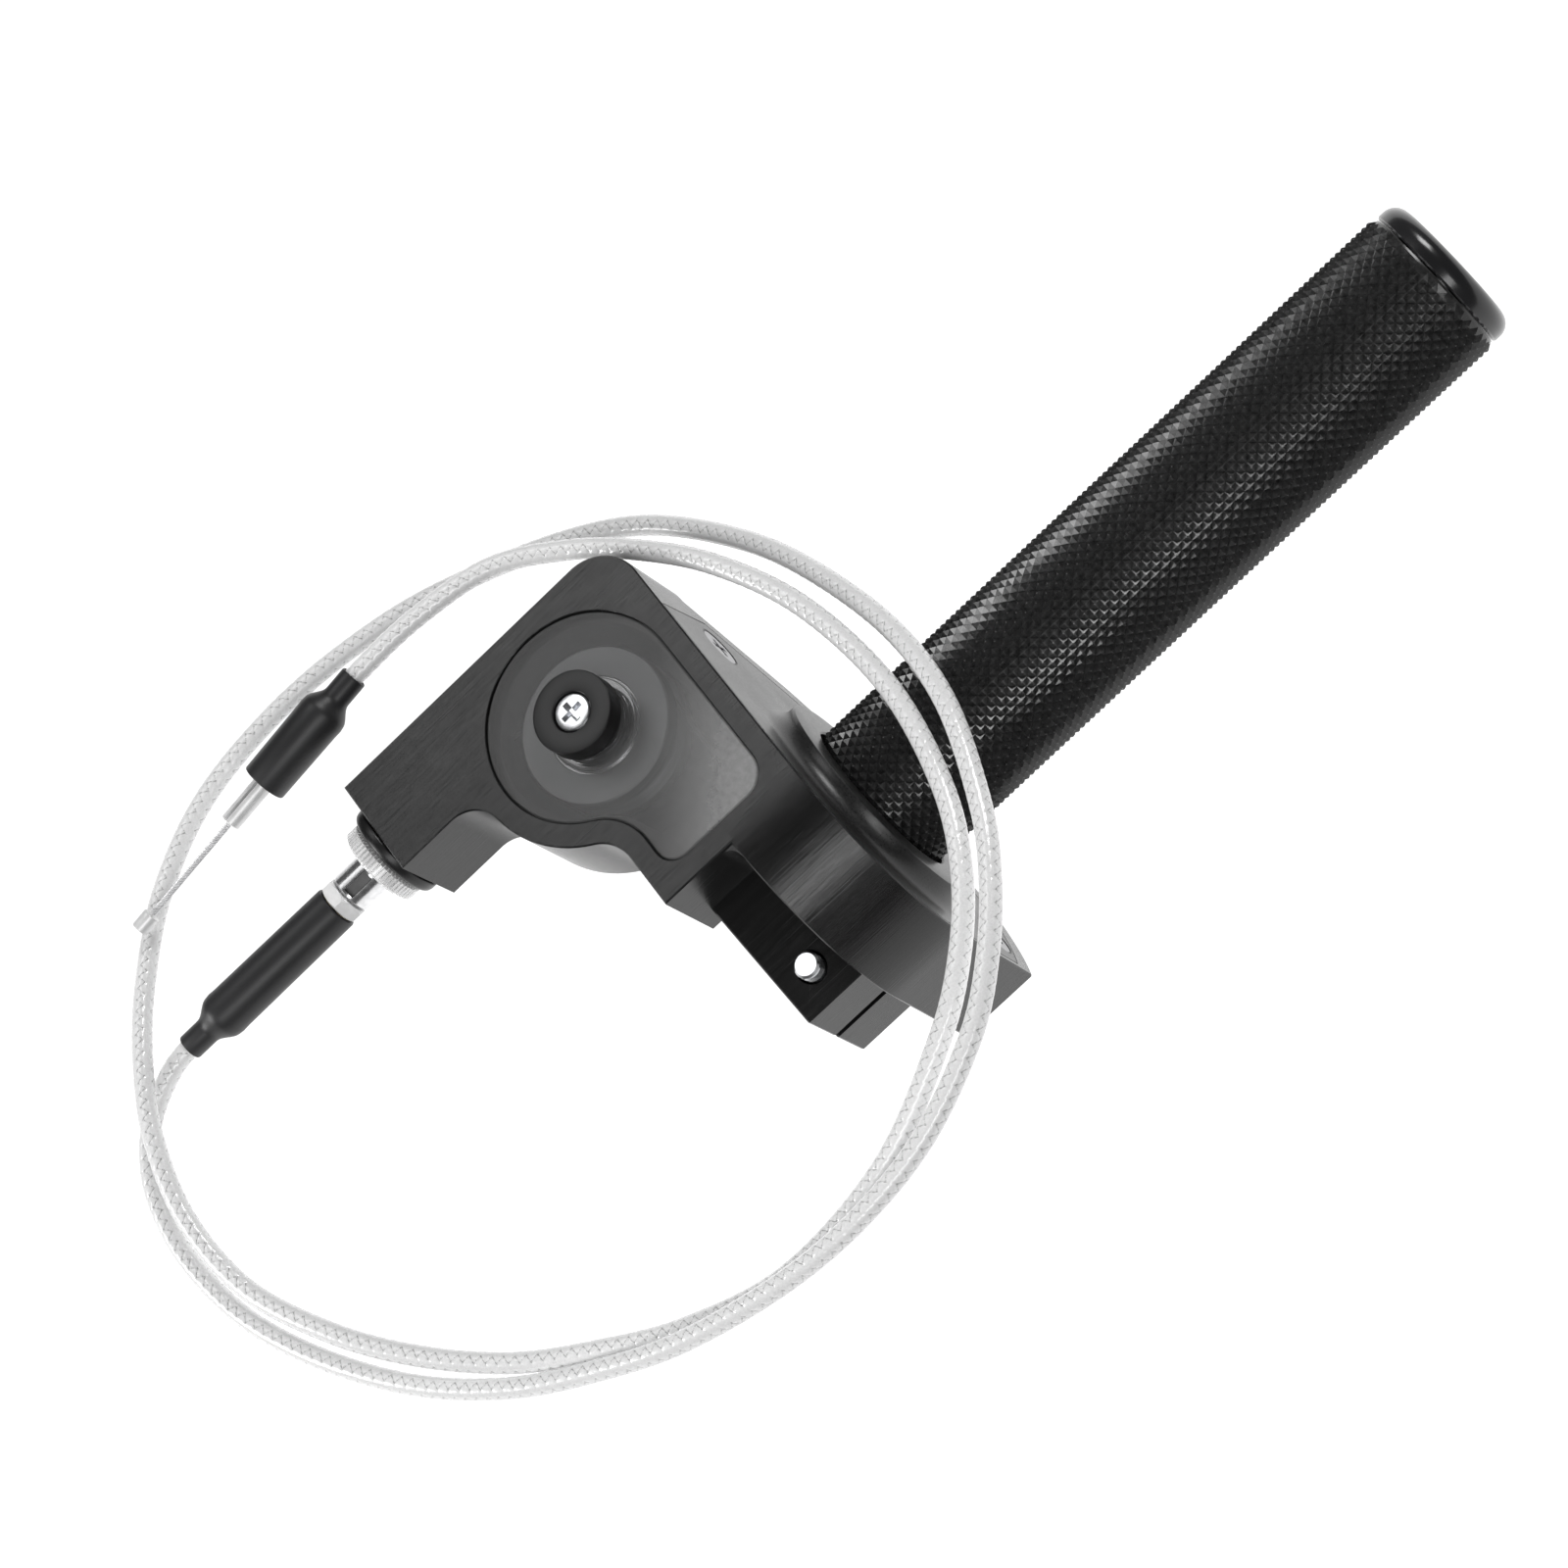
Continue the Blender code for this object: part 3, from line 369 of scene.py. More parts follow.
def turning_frames(route):
    """(point, side, up, distance) along a route, turned as little as possible from point to point."""
    length = route_length(route)
    frames = []
    side = None
    for index, point in enumerate(route):
        ahead = (route[min(index + 1, len(route) - 1)] - route[max(index - 1, 0)]).normalized()
        if side is None:
            side = ahead.orthogonal().normalized()
        side = (side - ahead * side.dot(ahead)).normalized()
        frames.append((point, side, ahead.cross(side), length * index / (len(route) - 1)))
    return frames


# ---- materials

def new_material(name):
    """A material, its Principled shader and a function that adds nodes to it."""
    look = bpy.data.materials.new(name)
    look.use_nodes = True
    tree = look.node_tree
    shader = tree.nodes["Principled BSDF"]

    def add(kind, inputs=None, **settings):
        """A new node, with its inputs linked or set to constants."""
        node = tree.nodes.new(kind)
        for key, value in settings.items():
            setattr(node, key, value)
        for key, value in (inputs or {}).items():
            if isinstance(value, bpy.types.NodeSocket):
                tree.links.new(value, node.inputs[key])
            else:
                node.inputs[key].default_value = value
        return node

    return look, shader, add


def link(shader, key, value):
    """Feeds another node's output to one of the shader's inputs."""
    shader.id_data.links.new(value, shader.inputs[key])


def fix(node, values):
    """Sets inputs of a node to constants."""
    for key, value in values.items():
        node.inputs[key].default_value = value


def mix(add, factor, first, second, blend="MIX"):
    """Two colours mixed by a factor."""
    node = add("ShaderNodeMix", {0: factor, 6: first, 7: second}, data_type="RGBA", blend_type=blend)
    return node.outputs[2]


def engrave(add, shader, height, strength, depth):
    """Gives the surface a fine relief, with its depth in metres."""
    bump = add("ShaderNodeBump", {"Height": height, "Strength": strength, "Distance": depth})
    link(shader, "Normal", bump.outputs["Normal"])


def even(value):
    """The same value for all three axes or channels."""
    return (value, value, value)


def grain(add, scale, detail=3.0, roughness=0.6):
    """Noise in the object's own space, stretched by a scale for each axis."""
    spot = add("ShaderNodeTexCoord").outputs["Object"]
    stretch = add("ShaderNodeMapping", {"Vector": spot, "Scale": scale})
    noise = add("ShaderNodeTexNoise", {
        "Vector": stretch.outputs["Vector"], "Scale": 1.0, "Detail": detail, "Roughness": roughness})
    return noise.outputs["Fac"]


def ramp(add, value, low, high, span=(0.3, 0.7)):
    """A value turned into a colour or grey between two ends."""
    node = add("ShaderNodeValToRGB", {"Fac": value})
    node.color_ramp.elements[0].position = span[0]
    node.color_ramp.elements[0].color = low
    node.color_ramp.elements[1].position = span[1]
    node.color_ramp.elements[1].color = high
    return node.outputs["Color"]


def grey(level):
    """An opaque grey."""
    return (level, level, level, 1.0)


def span_of(add, value, low, high):
    """A value from 0 to 1 spread over another range."""
    node = add("ShaderNodeMapRange", {"Value": value, "To Min": low, "To Max": high})
    return node.outputs["Result"]


def anodised(name, level, roughness, brush_scale, depth):
    """Black anodised aluminium: brushed, cloudy, with its edges worn a little paler."""
    look, shader, add = new_material(name)
    brush = grain(add, brush_scale, roughness=0.65)
    cloud = grain(add, even(90.0), roughness=0.5)
    wear = add("ShaderNodeNewGeometry").outputs["Pointiness"]
    worn = ramp(add, wear, grey(0.0), grey(0.5), (0.53, 0.62))
    even_black = ramp(add, brush, grey(level * 0.55), grey(level * 1.7))
    worn_black = ramp(add, cloud, grey(level * 2.0), grey(level * 5.0))
    link(shader, "Base Color", mix(add, worn, even_black, worn_black))
    streaked = add("ShaderNodeMath", {
        0: span_of(add, cloud, roughness - 0.05, roughness + 0.05),
        1: span_of(add, brush, -0.13, 0.13)}, operation="ADD")
    link(shader, "Roughness", streaked.outputs["Value"])
    engrave(add, shader, brush, 0.5, depth)
    return look


def plain_metal(name, colour, roughness, variation=0.06, scale=even(900.0), metallic=1.0):
    """Bare or plated metal with fine tool marks."""
    look, shader, add = new_material(name)
    marks = grain(add, scale, detail=4.0)
    darker = tuple(channel * 0.82 for channel in colour) + (1.0,)
    link(shader, "Base Color", ramp(add, marks, darker, colour + (1.0,)))
    link(shader, "Roughness", span_of(add, marks, roughness - variation, roughness + variation))
    engrave(add, shader, marks, 0.25, 0.000015)
    fix(shader, {"Metallic": metallic})
    return look


def moulded(name, colour, roughness, depth=0.00003, coat=0.0):
    """Rubber or plastic with a fine moulded grain."""
    look, shader, add = new_material(name)
    skin = grain(add, even(2500.0))
    cloud = grain(add, even(60.0), detail=2.0, roughness=0.5)
    darker = tuple(channel * 0.75 for channel in colour) + (1.0,)
    lighter = tuple(channel * 1.25 for channel in colour) + (1.0,)
    link(shader, "Base Color", ramp(add, cloud, darker, lighter))
    link(shader, "Roughness", span_of(add, cloud, roughness - 0.05, roughness + 0.08))
    engrave(add, shader, skin, 0.2, depth)
    fix(shader, {"Coat Weight": coat, "Coat Roughness": 0.15})
    return look


def smoked(name):
    """Smoked clear plastic, hazier and paler at the window's lower corner over the drum, where painted
    light stands in for the lit drum beneath.
    """
    look, shader, add = new_material(name)
    haze = grain(add, even(900.0))
    spot = add("ShaderNodeTexCoord").outputs["Object"]
    towards_drum = add("ShaderNodeVectorMath", {0: spot, 1: (0.75, -0.66, 0.0)}, operation="DOT_PRODUCT")
    # Painted light: towards the lower corner the pane is paler and less see-through, in place of the lit
    # drum behind it.
    reach = {"Value": towards_drum.outputs["Value"], "From Min": -0.012, "From Max": 0.010}
    corner = add("ShaderNodeMapRange", reach, interpolation_type="SMOOTHSTEP")
    clear = ramp(add, haze, grey(0.08), grey(0.13))
    painted_glow = ramp(add, haze, grey(0.26), grey(0.36))
    link(shader, "Base Color", mix(add, corner.outputs["Result"], clear, painted_glow))
    link(shader, "Alpha", span_of(add, corner.outputs["Result"], 0.4, 0.65))
    link(shader, "Roughness", span_of(add, haze, 0.16, 0.28))
    fix(shader, {"IOR": 1.49})
    return look


def braid_look(name):
    """Clear-coated silver braid: pale bands with painted shade darkening the gaps where the strands cross.
    """
    look, shader, add = new_material(name)
    relief = add("ShaderNodeAttribute", attribute_name="relief").outputs["Fac"]
    fine = grain(add, even(3000.0))
    # Painted shade: the lower the braid's relief, the darker its colour.
    bands = ramp(add, relief, grey(0.2), grey(0.93), (0.0, 0.62))
    mottle = ramp(add, fine, grey(0.86), grey(1.0))
    link(shader, "Base Color", mix(add, 1.0, bands, mottle, "MULTIPLY"))
    link(shader, "Roughness", span_of(add, fine, 0.28, 0.42))
    fix(shader, {"Subsurface Weight": 0.5, "Subsurface Scale": 0.002, "Subsurface Radius": even(1.0)})
    fix(shader, {"Coat Weight": 1.0, "Coat Roughness": 0.08})
    return look


# ---- housing

def fillet_centre(centre, radius, fillet, x=None, y=None):
    """The centre of a fillet outside a circle, below or left of it, when one coordinate is known."""
    if x is None:
        return (centre[0] - math.sqrt((radius + fillet) ** 2 - (centre[1] - y) ** 2), y)
    return (x, centre[1] - math.sqrt((radius + fillet) ** 2 - (centre[0] - x) ** 2))


def body_outline():
    """The pulley case and its arm, seen along Z."""
    belly, arm_fillet, wall_fillet, corner = 23.4, 7.0, 8.0, 9.3
    arm_end, arm_bottom, top, wall_side, in_chamber = -42.6, 39.3, 60.0, -8.6, 1.0
    arm_centre = fillet_centre(PULLEY_CENTRE, belly, arm_fillet, y=arm_bottom - arm_fillet)
    from_arm = bearing(arm_centre, PULLEY_CENTRE)
    wall_centre = fillet_centre(PULLEY_CENTRE, belly, wall_fillet, x=wall_side - wall_fillet)
    from_wall = bearing(wall_centre, PULLEY_CENTRE)
    points = [(wall_side, WALL_BOTTOM), (CHAMBER_START + OVERLAP, WALL_BOTTOM)]
    points += [(CHAMBER_START + OVERLAP, in_chamber), (CHAMBER_FACE, in_chamber)]
    points += arc((CHAMBER_FACE - corner, top - corner), corner, 0.0, 90.0)
    points += [(arm_end, top), (arm_end, arm_bottom)]
    points += arc(arm_centre, arm_fillet, 90.0, from_arm)
    points += arc(PULLEY_CENTRE, belly, 180.0 + from_arm, 180.0 + from_wall)[1:]
    points += arc(wall_centre, wall_fillet, from_wall, 0.0)[1:]
    return points


def window_outline():
    """The window, seen along Z."""
    centre, radius, fillet = (0.0, 36.2), 19.2, 11.8
    left, bottom, left_corner, right_corner = -4.2, 2.2, 4.0, 5.0
    waist = fillet_centre(centre, radius, fillet, x=left - fillet)
    from_waist = bearing(waist, centre)
    points = arc(centre, radius, 0.0, 180.0 + from_waist)
    points += arc(waist, fillet, from_waist, 0.0)[1:]
    points += arc((left + left_corner, bottom + left_corner), left_corner, 180.0, 270.0, 9.0)
    points += arc((radius - right_corner, bottom + right_corner), right_corner, 270.0, 360.0, 9.0)
    return points


def chamber_outline():
    """The drum chamber's outside, seen along X: first coordinate Y, second Z."""
    flank_foot, case_side = -135.9, 50.7
    points = [(0.0, HOUSING_FRONT)]
    points += arc(BAR_AXIS, HOUSING_FRONT, 90.0, 180.0, 3.0)[1:]
    points += arc(BAR_AXIS, CHAMBER_RADIUS, flank_foot, CHAMBER_ROUND_END, 3.0)
    points += [(case_side, HOUSING_BACK), (case_side, HOUSING_FRONT)]
    return points


def cover_outline():
    """The cover plate, seen along X."""
    shoulder, belly = 29.6, 39.0
    corner = math.degrees(math.acos(-shoulder / belly))
    points = arc(BAR_AXIS, shoulder, 90.0, 180.0, 3.0)
    points += arc(BAR_AXIS, belly, -corner, CHAMBER_ROUND_END, 3.0)
    points += [(45.7, 8.6), (42.0, shoulder)]
    return points


def clamp_outline():
    """The split clamp, seen along X: round the bar, with flanks that slope to the pinch end."""
    corner = (-28.1, 11.3)
    tangent = bearing(BAR_AXIS, corner) - math.degrees(math.acos(CLAMP_RADIUS / math.hypot(*corner)))
    points = arc(BAR_AXIS, CLAMP_RADIUS, -tangent, tangent)
    points += [corner, (corner[0], -corner[1])]
    return points


def corner_blend():
    """The rounded inner corner where the case's wall meets the drum chamber."""
    radius, wall_depth = 3.0, -1.0
    heel = (CHAMBER_START - radius, WALL_BOTTOM - radius)
    outline = [(CHAMBER_START + OVERLAP, wall_depth), (heel[0], wall_depth)]
    outline += arc(heel, radius, 90.0, 0.0, 9.0) + [(CHAMBER_START + OVERLAP, heel[1])]
    return prism("corner_blend", outline[::-1], 5.0, 29.9)


def main_housing(look):
    """The case, the drum chamber and the clamp in one, with its recesses and bores."""
    body = prism("housing_case", body_outline(), HOUSING_BACK, HOUSING_FRONT, "Z", look, EDGE, CRISP_EDGE)
    chamber = prism(
        "chamber_block", chamber_outline(), CHAMBER_START, CHAMBER_FACE, "X",
        chamfer_low=CRISP_EDGE, chamfer_high=CRISP_EDGE,
    )
    clamp_end = CHAMBER_START + OVERLAP
    clamp = prism("clamp_block", clamp_outline(), CLAMP_START, clamp_end, "X", chamfer_low=CRISP_EDGE)
    for part in (chamber, clamp, corner_blend()):
        join(body, part)

    window = window_outline()
    fit, ledge = 0.2, 1.2
    cut(body, flared("window_recess", inset(window, -fit), WINDOW_FLOOR, HOUSING_FRONT, 0.15))
    cut(body, prism("pulley_pocket", inset(window, ledge), POCKET_FLOOR, HOUSING_FRONT + OVERSHOOT))
    chamber_mouth = CHAMBER_FACE + OVERSHOOT
    bore(body, DRUM_CAVITY, DRUM_CAVITY_START, chamber_mouth, BAR_AXIS, "X", 96)
    cut(body, flared("cover_recess", inset(cover_outline(), -fit), COVER_FLOOR, CHAMBER_FACE, 0.1, "X"))
    clamp_mouth = CLAMP_START - OVERSHOOT
    bore(body, BAR_BORE, clamp_mouth, DRUM_CAVITY_START + OVERSHOOT, BAR_AXIS, "X", 96)
    slit = rectangle((-29.5, -0.75), (-10.2, 0.75))
    cut(body, prism("clamp_slit", slit, clamp_mouth, CHAMBER_START - 0.3, "X"))
    clamp_top = CLAMP_RADIUS + OVERSHOOT
    bore(body, PINCH_HOLE, -clamp_top, clamp_top, PINCH_BOLT, "Z")
    bore(body, PINCH_SEAT_HOLE, -clamp_top, PINCH_SEAT, PINCH_BOLT, "Z")
    arm_end, thread_end, pocket_side = HOUSING_BOX[0].x - OVERSHOOT, -29.7, -10.0
    bore(body, ADJUSTER_HOLE, arm_end, thread_end, ADJUSTER_LINE, "X", 32)
    bore(body, WIRE_WAY, -31.0, pocket_side, ADJUSTER_LINE, "X", 32)
    post_low, post_high = HOUSING_BACK - OVERSHOOT, POCKET_FLOOR + OVERSHOOT
    bore(body, POST_HOLE, post_low, post_high, PULLEY_CENTRE, "Z", 32)
    for centre in COVER_SCREWS:
        bore(body, SCREW_HOLE, 11.7, chamber_mouth, centre, "X", 32)
    place(settle(body), "housing", "main_housing")


def window_pane(look):
    """The clear cover, with the hole that the knob's shank passes."""
    low, high = 28.0, 30.3
    pane = prism("window_pane", window_outline(), low, high, "Z", look, chamfer_high=0.25)
    bore(pane, 4.0, low - OVERSHOOT, high + OVERSHOOT, PULLEY_CENTRE, "Z")
    place(settle(pane), "housing", "window_cover")


def drum_cover(look):
    """The plate over the drum, with a raised boss that the grip passes through."""
    back = 21.0
    plate = prism("cover_plate", cover_outline(), back, CHAMBER_FACE, "X", look, chamfer_high=0.12)
    radius, face, fillet, mouth, foot = 22.3, 27.4, 3.0, 15.5, 22.0
    flank = arc((CHAMBER_FACE + fillet, radius + fillet), fillet, 270.0, 180.0, 7.5)
    top = [(face, 0.0), (face, radius - 0.25), (face - 0.07, radius - 0.07), (face - 0.25, radius)]
    boss_profile = top + flank + [(foot, radius + fillet), (foot, 0.0)]
    join(plate, turned("boss", boss_profile, BAR_AXIS, "X", None, 144))
    below = back - OVERSHOOT
    opening = [(below, 0.0), (below, mouth), (face - 0.3, mouth), (face, mouth + 0.3)]
    opening += [(28.5, mouth + 0.3), (28.5, 0.0)]
    cut(plate, turned("boss_mouth", opening, BAR_AXIS, "X", None, 144))
    sink = [(below, 0.0), (below, SCREW_HOLE), (21.3, SCREW_HOLE), (23.3, 4.35), (CHAMBER_FACE, 4.5)]
    sink += [(CHAMBER_FACE + OVERSHOOT, 4.5), (CHAMBER_FACE + OVERSHOOT, 0.0)]
    for centre in COVER_SCREWS:
        cut(plate, turned("screw_sink", sink, centre, "X", None, 48))
    place(settle(plate, 25.0), "housing", "drum_cover")


def cross_recess(centre, top, axis, reach, width, depth, turn):
    """The tapered cross of a screw's drive."""
    blocks = []
    for angle in (turn, turn + 90.0):
        stations = []
        for along, size in ((top - depth, 0.55), (top + 0.05, 1.0)):
            outline = slab(centre, angle, -reach * size, reach * size, width * size / 2)
            stations.append((outline, along))
        blocks.append(stacked("cross_block", stations, axis))
    join(*blocks)
    return blocks[0]


def cover_screws(look):
    """The countersunk screws of the cover plate, each with its cross turned differently."""
    low, under, top, shank, head = 12.0, 21.3, CHAMBER_FACE - 0.1, 1.9, 4.1
    profile = [(low, 0.0), (low, shank), (under, shank), (top - 0.25, head), (top, head - 0.1), (top, 0.0)]
    for number, centre in enumerate(COVER_SCREWS, 1):
        screw = turned(f"cover_screw_head_{number}", profile, centre, "X", look, 48)
        cut(screw, cross_recess(centre, top, "X", 2.4, 1.25, 1.3, 45.0 * (number - 1)))
        place(settle(screw), "housing", f"cover_screw_{number}")


def pinch_bolt(look):
    """The clamp's socket-head bolt, whose threaded end stands out of the upper flank."""
    top, under, head = 15.2, PINCH_SEAT - 0.3, 4.6
    crest, groove, pitch, thread_start = 2.5, 2.2, 0.8, 3.0
    profile = [(under - head, 0.0), (under - head, 4.0), (under - head + 0.2, 4.2)]
    profile += [(under, 4.2), (under, crest)]
    for turn in range(14):
        along = thread_start + turn * pitch
        profile += [(along, crest), (along + pitch / 2, groove)]
    profile += [(top - 0.4, crest - 0.05), (top, 2.05), (top, 0.0)]
    bolt = turned("pinch_bolt_steel", profile, PINCH_BOLT, "Z", look, 48)
    cut(bolt, prism("socket", circle(PINCH_BOLT, 2.3, 6), under - head - OVERSHOOT, under - 2.2))
    place(settle(bolt), "housing", "pinch_bolt")


# ---- pulley group

def pulley_wheel(look, hub_look):
    """The grooved disc, with a polished hub round the knob."""
    low, front, rim, floor, hub, hole = PULLEY_BOX[0].z, 26.0, 14.6, 12.0, 8.6, 5.3
    groove = [(WIRE_Z - 1.9, rim), (WIRE_Z - 0.9, floor + 0.2), (WIRE_Z - 0.5, floor)]
    groove += [(WIRE_Z + 0.5, floor), (WIRE_Z + 0.9, floor + 0.2), (WIRE_Z + 1.9, rim)]
    profile = [(low, hole), (low, rim - 0.2), (low + 0.2, rim)] + groove
    profile += [(front - 0.3, rim), (front, rim - 0.3), (front, hub + 0.5)]
    profile += [(front - 0.2, hub + 0.3), (front - 0.2, hub), (26.5, hub)]
    profile += arc((26.5, hub - 0.3), 0.3, 90.0, 0.0, 30.0) + [(26.8, 7.4)]
    profile += arc((26.8, 6.9), 0.5, 90.0, -90.0, 30.0) + [(26.2, 6.2), (26.2, hole)]
    wheel = turned("pulley_disc", profile, PULLEY_CENTRE, "Z", look, 128)
    wheel.data.materials.append(hub_look)
    for face in wheel.data.polygons:
        from_axle = (face.center.xy / MM - Vector(PULLEY_CENTRE)).length
        if face.center.z > (front - 0.3) * MM and from_axle < hub + 0.2:
            face.material_index = 1
    place(wheel, "pulley", "pulley_wheel")


def axle_knob(look):
    """The round knob, with a recess for the screw's head."""
    low, high = KNOB_BOX[0].z, KNOB_BOX[1].z
    radius, recess, recess_floor, hole = 7.7, 3.7, high - 1.9, 1.8
    profile = [(low, hole), (low, radius), (high, radius)]
    profile += [(high, recess), (recess_floor, recess), (recess_floor, hole)]
    knob = turned("knob", eased(profile, 0.35), PULLEY_CENTRE, "Z", look, 96)
    place(knob, "housing", "axle_knob")


def knob_screw(look):
    """The cross-head screw in the middle of the knob."""
    low, high = KNOB_SCREW_BOX[0].z, KNOB_SCREW_BOX[1].z
    under, shank, head = high - 1.5, 1.5, 3.45
    profile = [(low, 0.0), (low, shank), (under, shank), (under, head)]
    profile += [(high - 0.35, head), (high - 0.1, 3.2), (high, 2.6), (high, 0.0)]
    screw = turned("knob_screw_head", profile, PULLEY_CENTRE, "Z", look, 64)
    cut(screw, cross_recess(PULLEY_CENTRE, high, "Z", 2.2, 1.15, 1.1, 4.0))
    place(settle(screw), "housing", "knob_screw")


# ---- rotor

KNURL_COLUMNS = 39
KNURL_ROWS = 54
KNURL_START = 26.8
KNURL_CREST = 15.15
KNURL_HEIGHT = 0.8
KNURL_LAND = 0.12


def knurled_grip(look):
    """The grip tube: a sleeve of blunt pyramids between two crossing sets of grooves."""
    start, end = KNURL_START, GRIP_BOX[1].x - 0.4
    root = KNURL_CREST - KNURL_HEIGHT
    columns, rows = 2 * KNURL_COLUMNS, 2 * KNURL_ROWS
    shape = bmesh.new()

    def spot(row, column, radius):
        """A point of the sleeve; rows run along the grip, columns round it."""
        x = start + (end - start) * row / rows
        return on_axis(*polar(BAR_AXIS, radius, math.tau * column / columns), x, "X")

    cells = [(row, column) for row in range(rows + 1) for column in range(columns)]
    corners = {cell: shape.verts.new(spot(*cell, root)) for cell in cells if sum(cell) % 2 == 0}
    for row, column in cells:
        if (row + column) % 2 == 0:
            continue
        around = [(row - 1, column), (row, (column - 1) % columns)]
        around += [(row + 1, column), (row, (column + 1) % columns)]
        base = [corners[cell] for cell in around if cell in corners]
        if len(base) < 4:
            shape.faces.new(base)
            continue
        peak = spot(row, column, root + KNURL_HEIGHT)
        crest = [shape.verts.new(corner.co.lerp(peak, 1.0 - KNURL_LAND)) for corner in base]
        for index in range(4):
            after = (index + 1) % 4
            shape.faces.new((base[index], base[after], crest[after], crest[index]))
        shape.faces.new(crest)

    def turned_end(rim, profile):
        """Closes one end of the knurl with turned faces that start from its rim."""
        for x, radius in profile:
            ring = []
            for corner in rim:
                angle = math.atan2(corner.co.z, corner.co.y)
                ring.append(shape.verts.new(on_axis(*polar(BAR_AXIS, radius, angle), x, "X")))
            bridge(shape, [rim, ring])
            rim = ring
        return rim

    inside, drum_seat, seat_end, plain = 11.4, 13.0, 20.5, 14.3
    low, high = GRIP_BOX[0].x, GRIP_BOX[1].x
    outboard = [(end + 0.1, plain), (high, plain - 0.1), (high, inside)]
    inboard = [(start - 0.3, plain), (seat_end, plain), (seat_end, drum_seat)]
    inboard += [(low, drum_seat), (low, inside)]
    outboard_rim = turned_end([corners[rows, column] for column in range(0, columns, 2)], outboard)
    inboard_rim = turned_end([corners[0, column] for column in range(0, columns, 2)], inboard)
    bridge(shape, [outboard_rim, inboard_rim])
    grip = finish_shape("knurled_grip", shape, look, 20.0)
    place(grip, "rotor", "throttle_tube")


def end_cap(look):
    """The cap of the grip's outer end: a plug, and a head with a rounded rim."""
    low, high = CAP_BOX[0].x, CAP_BOX[1].x
    rim, plug, head, round_radius = 158.3, 11.1, 14.6, 3.0
    profile = [(low, 0.0), (low, plug), (rim, plug), (rim, head - 0.3), (rim + 0.3, head)]
    profile += arc((high - round_radius, head - round_radius), round_radius, 90.0, 0.0, 7.5)
    profile += [(high, 8.0), (high - 0.15, 7.6), (high - 0.15, 0.0)]
    cap = turned("cap", profile, BAR_AXIS, "X", look, 128)
    place(cap, "rotor", "end_cap")


# ---- adjuster

def flange_washer(look):
    """The black collar between the lock nut and the arm."""
    low, high = COLLAR_BOX[0].x, COLLAR_BOX[1].x
    radius, hole = 9.5, ADJUSTER_HOLE
    profile = [(low, hole), (low, radius - 0.8), (low + 0.5, radius - 0.2), (low + 1.2, radius)]
    profile += [(high - 0.3, radius), (high, radius - 0.3), (high, hole)]
    collar = turned("collar", eased(profile, 0.25), ADJUSTER_LINE, "X", look, 96)
    place(collar, "housing", "flange_washer")


def lock_nut(look):
    """A round nut whose rim has straight ribs between narrow grooves."""
    low, high = LOCK_NUT_BOX[0].x, LOCK_NUT_BOX[1].x
    ribs, crest, groove, face_edge, hole = 56, 8.05, 7.5, 7.3, ADJUSTER_HOLE
    rib_points = [(0.0, crest), (0.55, crest), (0.68, groove), (0.87, groove)]
    stations = [(low, hole), (low, face_edge), (low + 0.5, crest)]
    stations += [(high - 0.5, crest), (high, face_edge), (high, hole)]
    rings = []
    for along, limit in stations:
        ring = []
        for rib in range(ribs):
            for share, height in rib_points:
                angle = math.tau * (rib + share) / ribs
                ring.append(on_axis(*polar(ADJUSTER_LINE, min(limit, height), angle), along, "X"))
        rings.append(ring)
    place(closed_loft("lock_nut", rings, look, 20.0), "housing", "knurled_lock_nut")


def adjuster(look, slot_shade_look):
    """The hollow adjuster: a slotted head, a tail for the boot and a thread into the arm."""
    low, high = ADJUSTER_BOX[0].x, ADJUSTER_BOX[1].x
    head_back, head_front, head_radius = -56.0, -49.3, 4.1
    hole, tail, crest, groove, pitch = 1.1, 2.4, 3.0, 2.75, 0.9
    profile = [(low, hole), (low, tail), (head_back, tail)]
    profile += [(head_back, head_radius - 0.4), (head_back + 0.4, head_radius)]
    profile += [(head_front - 0.2, head_radius), (head_front, head_radius - 0.2), (head_front, crest)]
    for turn in range(18):
        along = head_front + pitch + turn * pitch
        profile += [(along, crest), (along + pitch / 2, groove)]
    profile += [(high, crest), (high, hole)]
    sleeve = turned("adjuster_sleeve", profile, ADJUSTER_LINE, "X", look, 96)
    slot = slab(ADJUSTER_LINE, 118.0, 2.9, head_radius + 1.0, 1.05)
    cut(sleeve, prism("adjuster_slot", slot, head_back + 0.8, head_front - 0.8, "X"))
    # The slot's inner walls get a dark grey look: painted shade in the slot.
    sleeve.data.materials.append(slot_shade_look)
    for face in sleeve.data.polygons:
        x, y, z = face.center / MM
        from_axis = math.hypot(y - ADJUSTER_LINE[0], z - ADJUSTER_LINE[1])
        if head_back + 0.7 < x < head_front - 0.7 and 2.0 < from_axis < head_radius - 0.1:
            face.material_index = 1
    place(settle(sleeve), "housing", "cable_adjuster")


def hex_nut(look):
    """A hexagon with both faces turned to a cone at the corners."""
    low, high = HEX_NUT_BOX[0].x, HEX_NUT_BOX[1].x
    half_across_flats = 4.0
    corner_radius = half_across_flats / math.cos(math.radians(30.0))
    nut = prism("hex_nut", circle(ADJUSTER_LINE, corner_radius, 6), low, high, "X", look)
    back, front, face_edge, widest = low - 0.1, high + 0.1, 3.75, 4.7
    cone = [(back, 0.0), (back, face_edge), (low + 0.55, widest)]
    cone += [(high - 0.55, widest), (front, face_edge), (front, 0.0)]
    limit = turned("corner_cone", cone, ADJUSTER_LINE, "X", None, 96)
    combine(nut, limit, "INTERSECT")
    bore(nut, 2.7, low - OVERSHOOT, high + OVERSHOOT, ADJUSTER_LINE, "X")
    place(settle(nut), "housing", "adjuster_hex_nut")


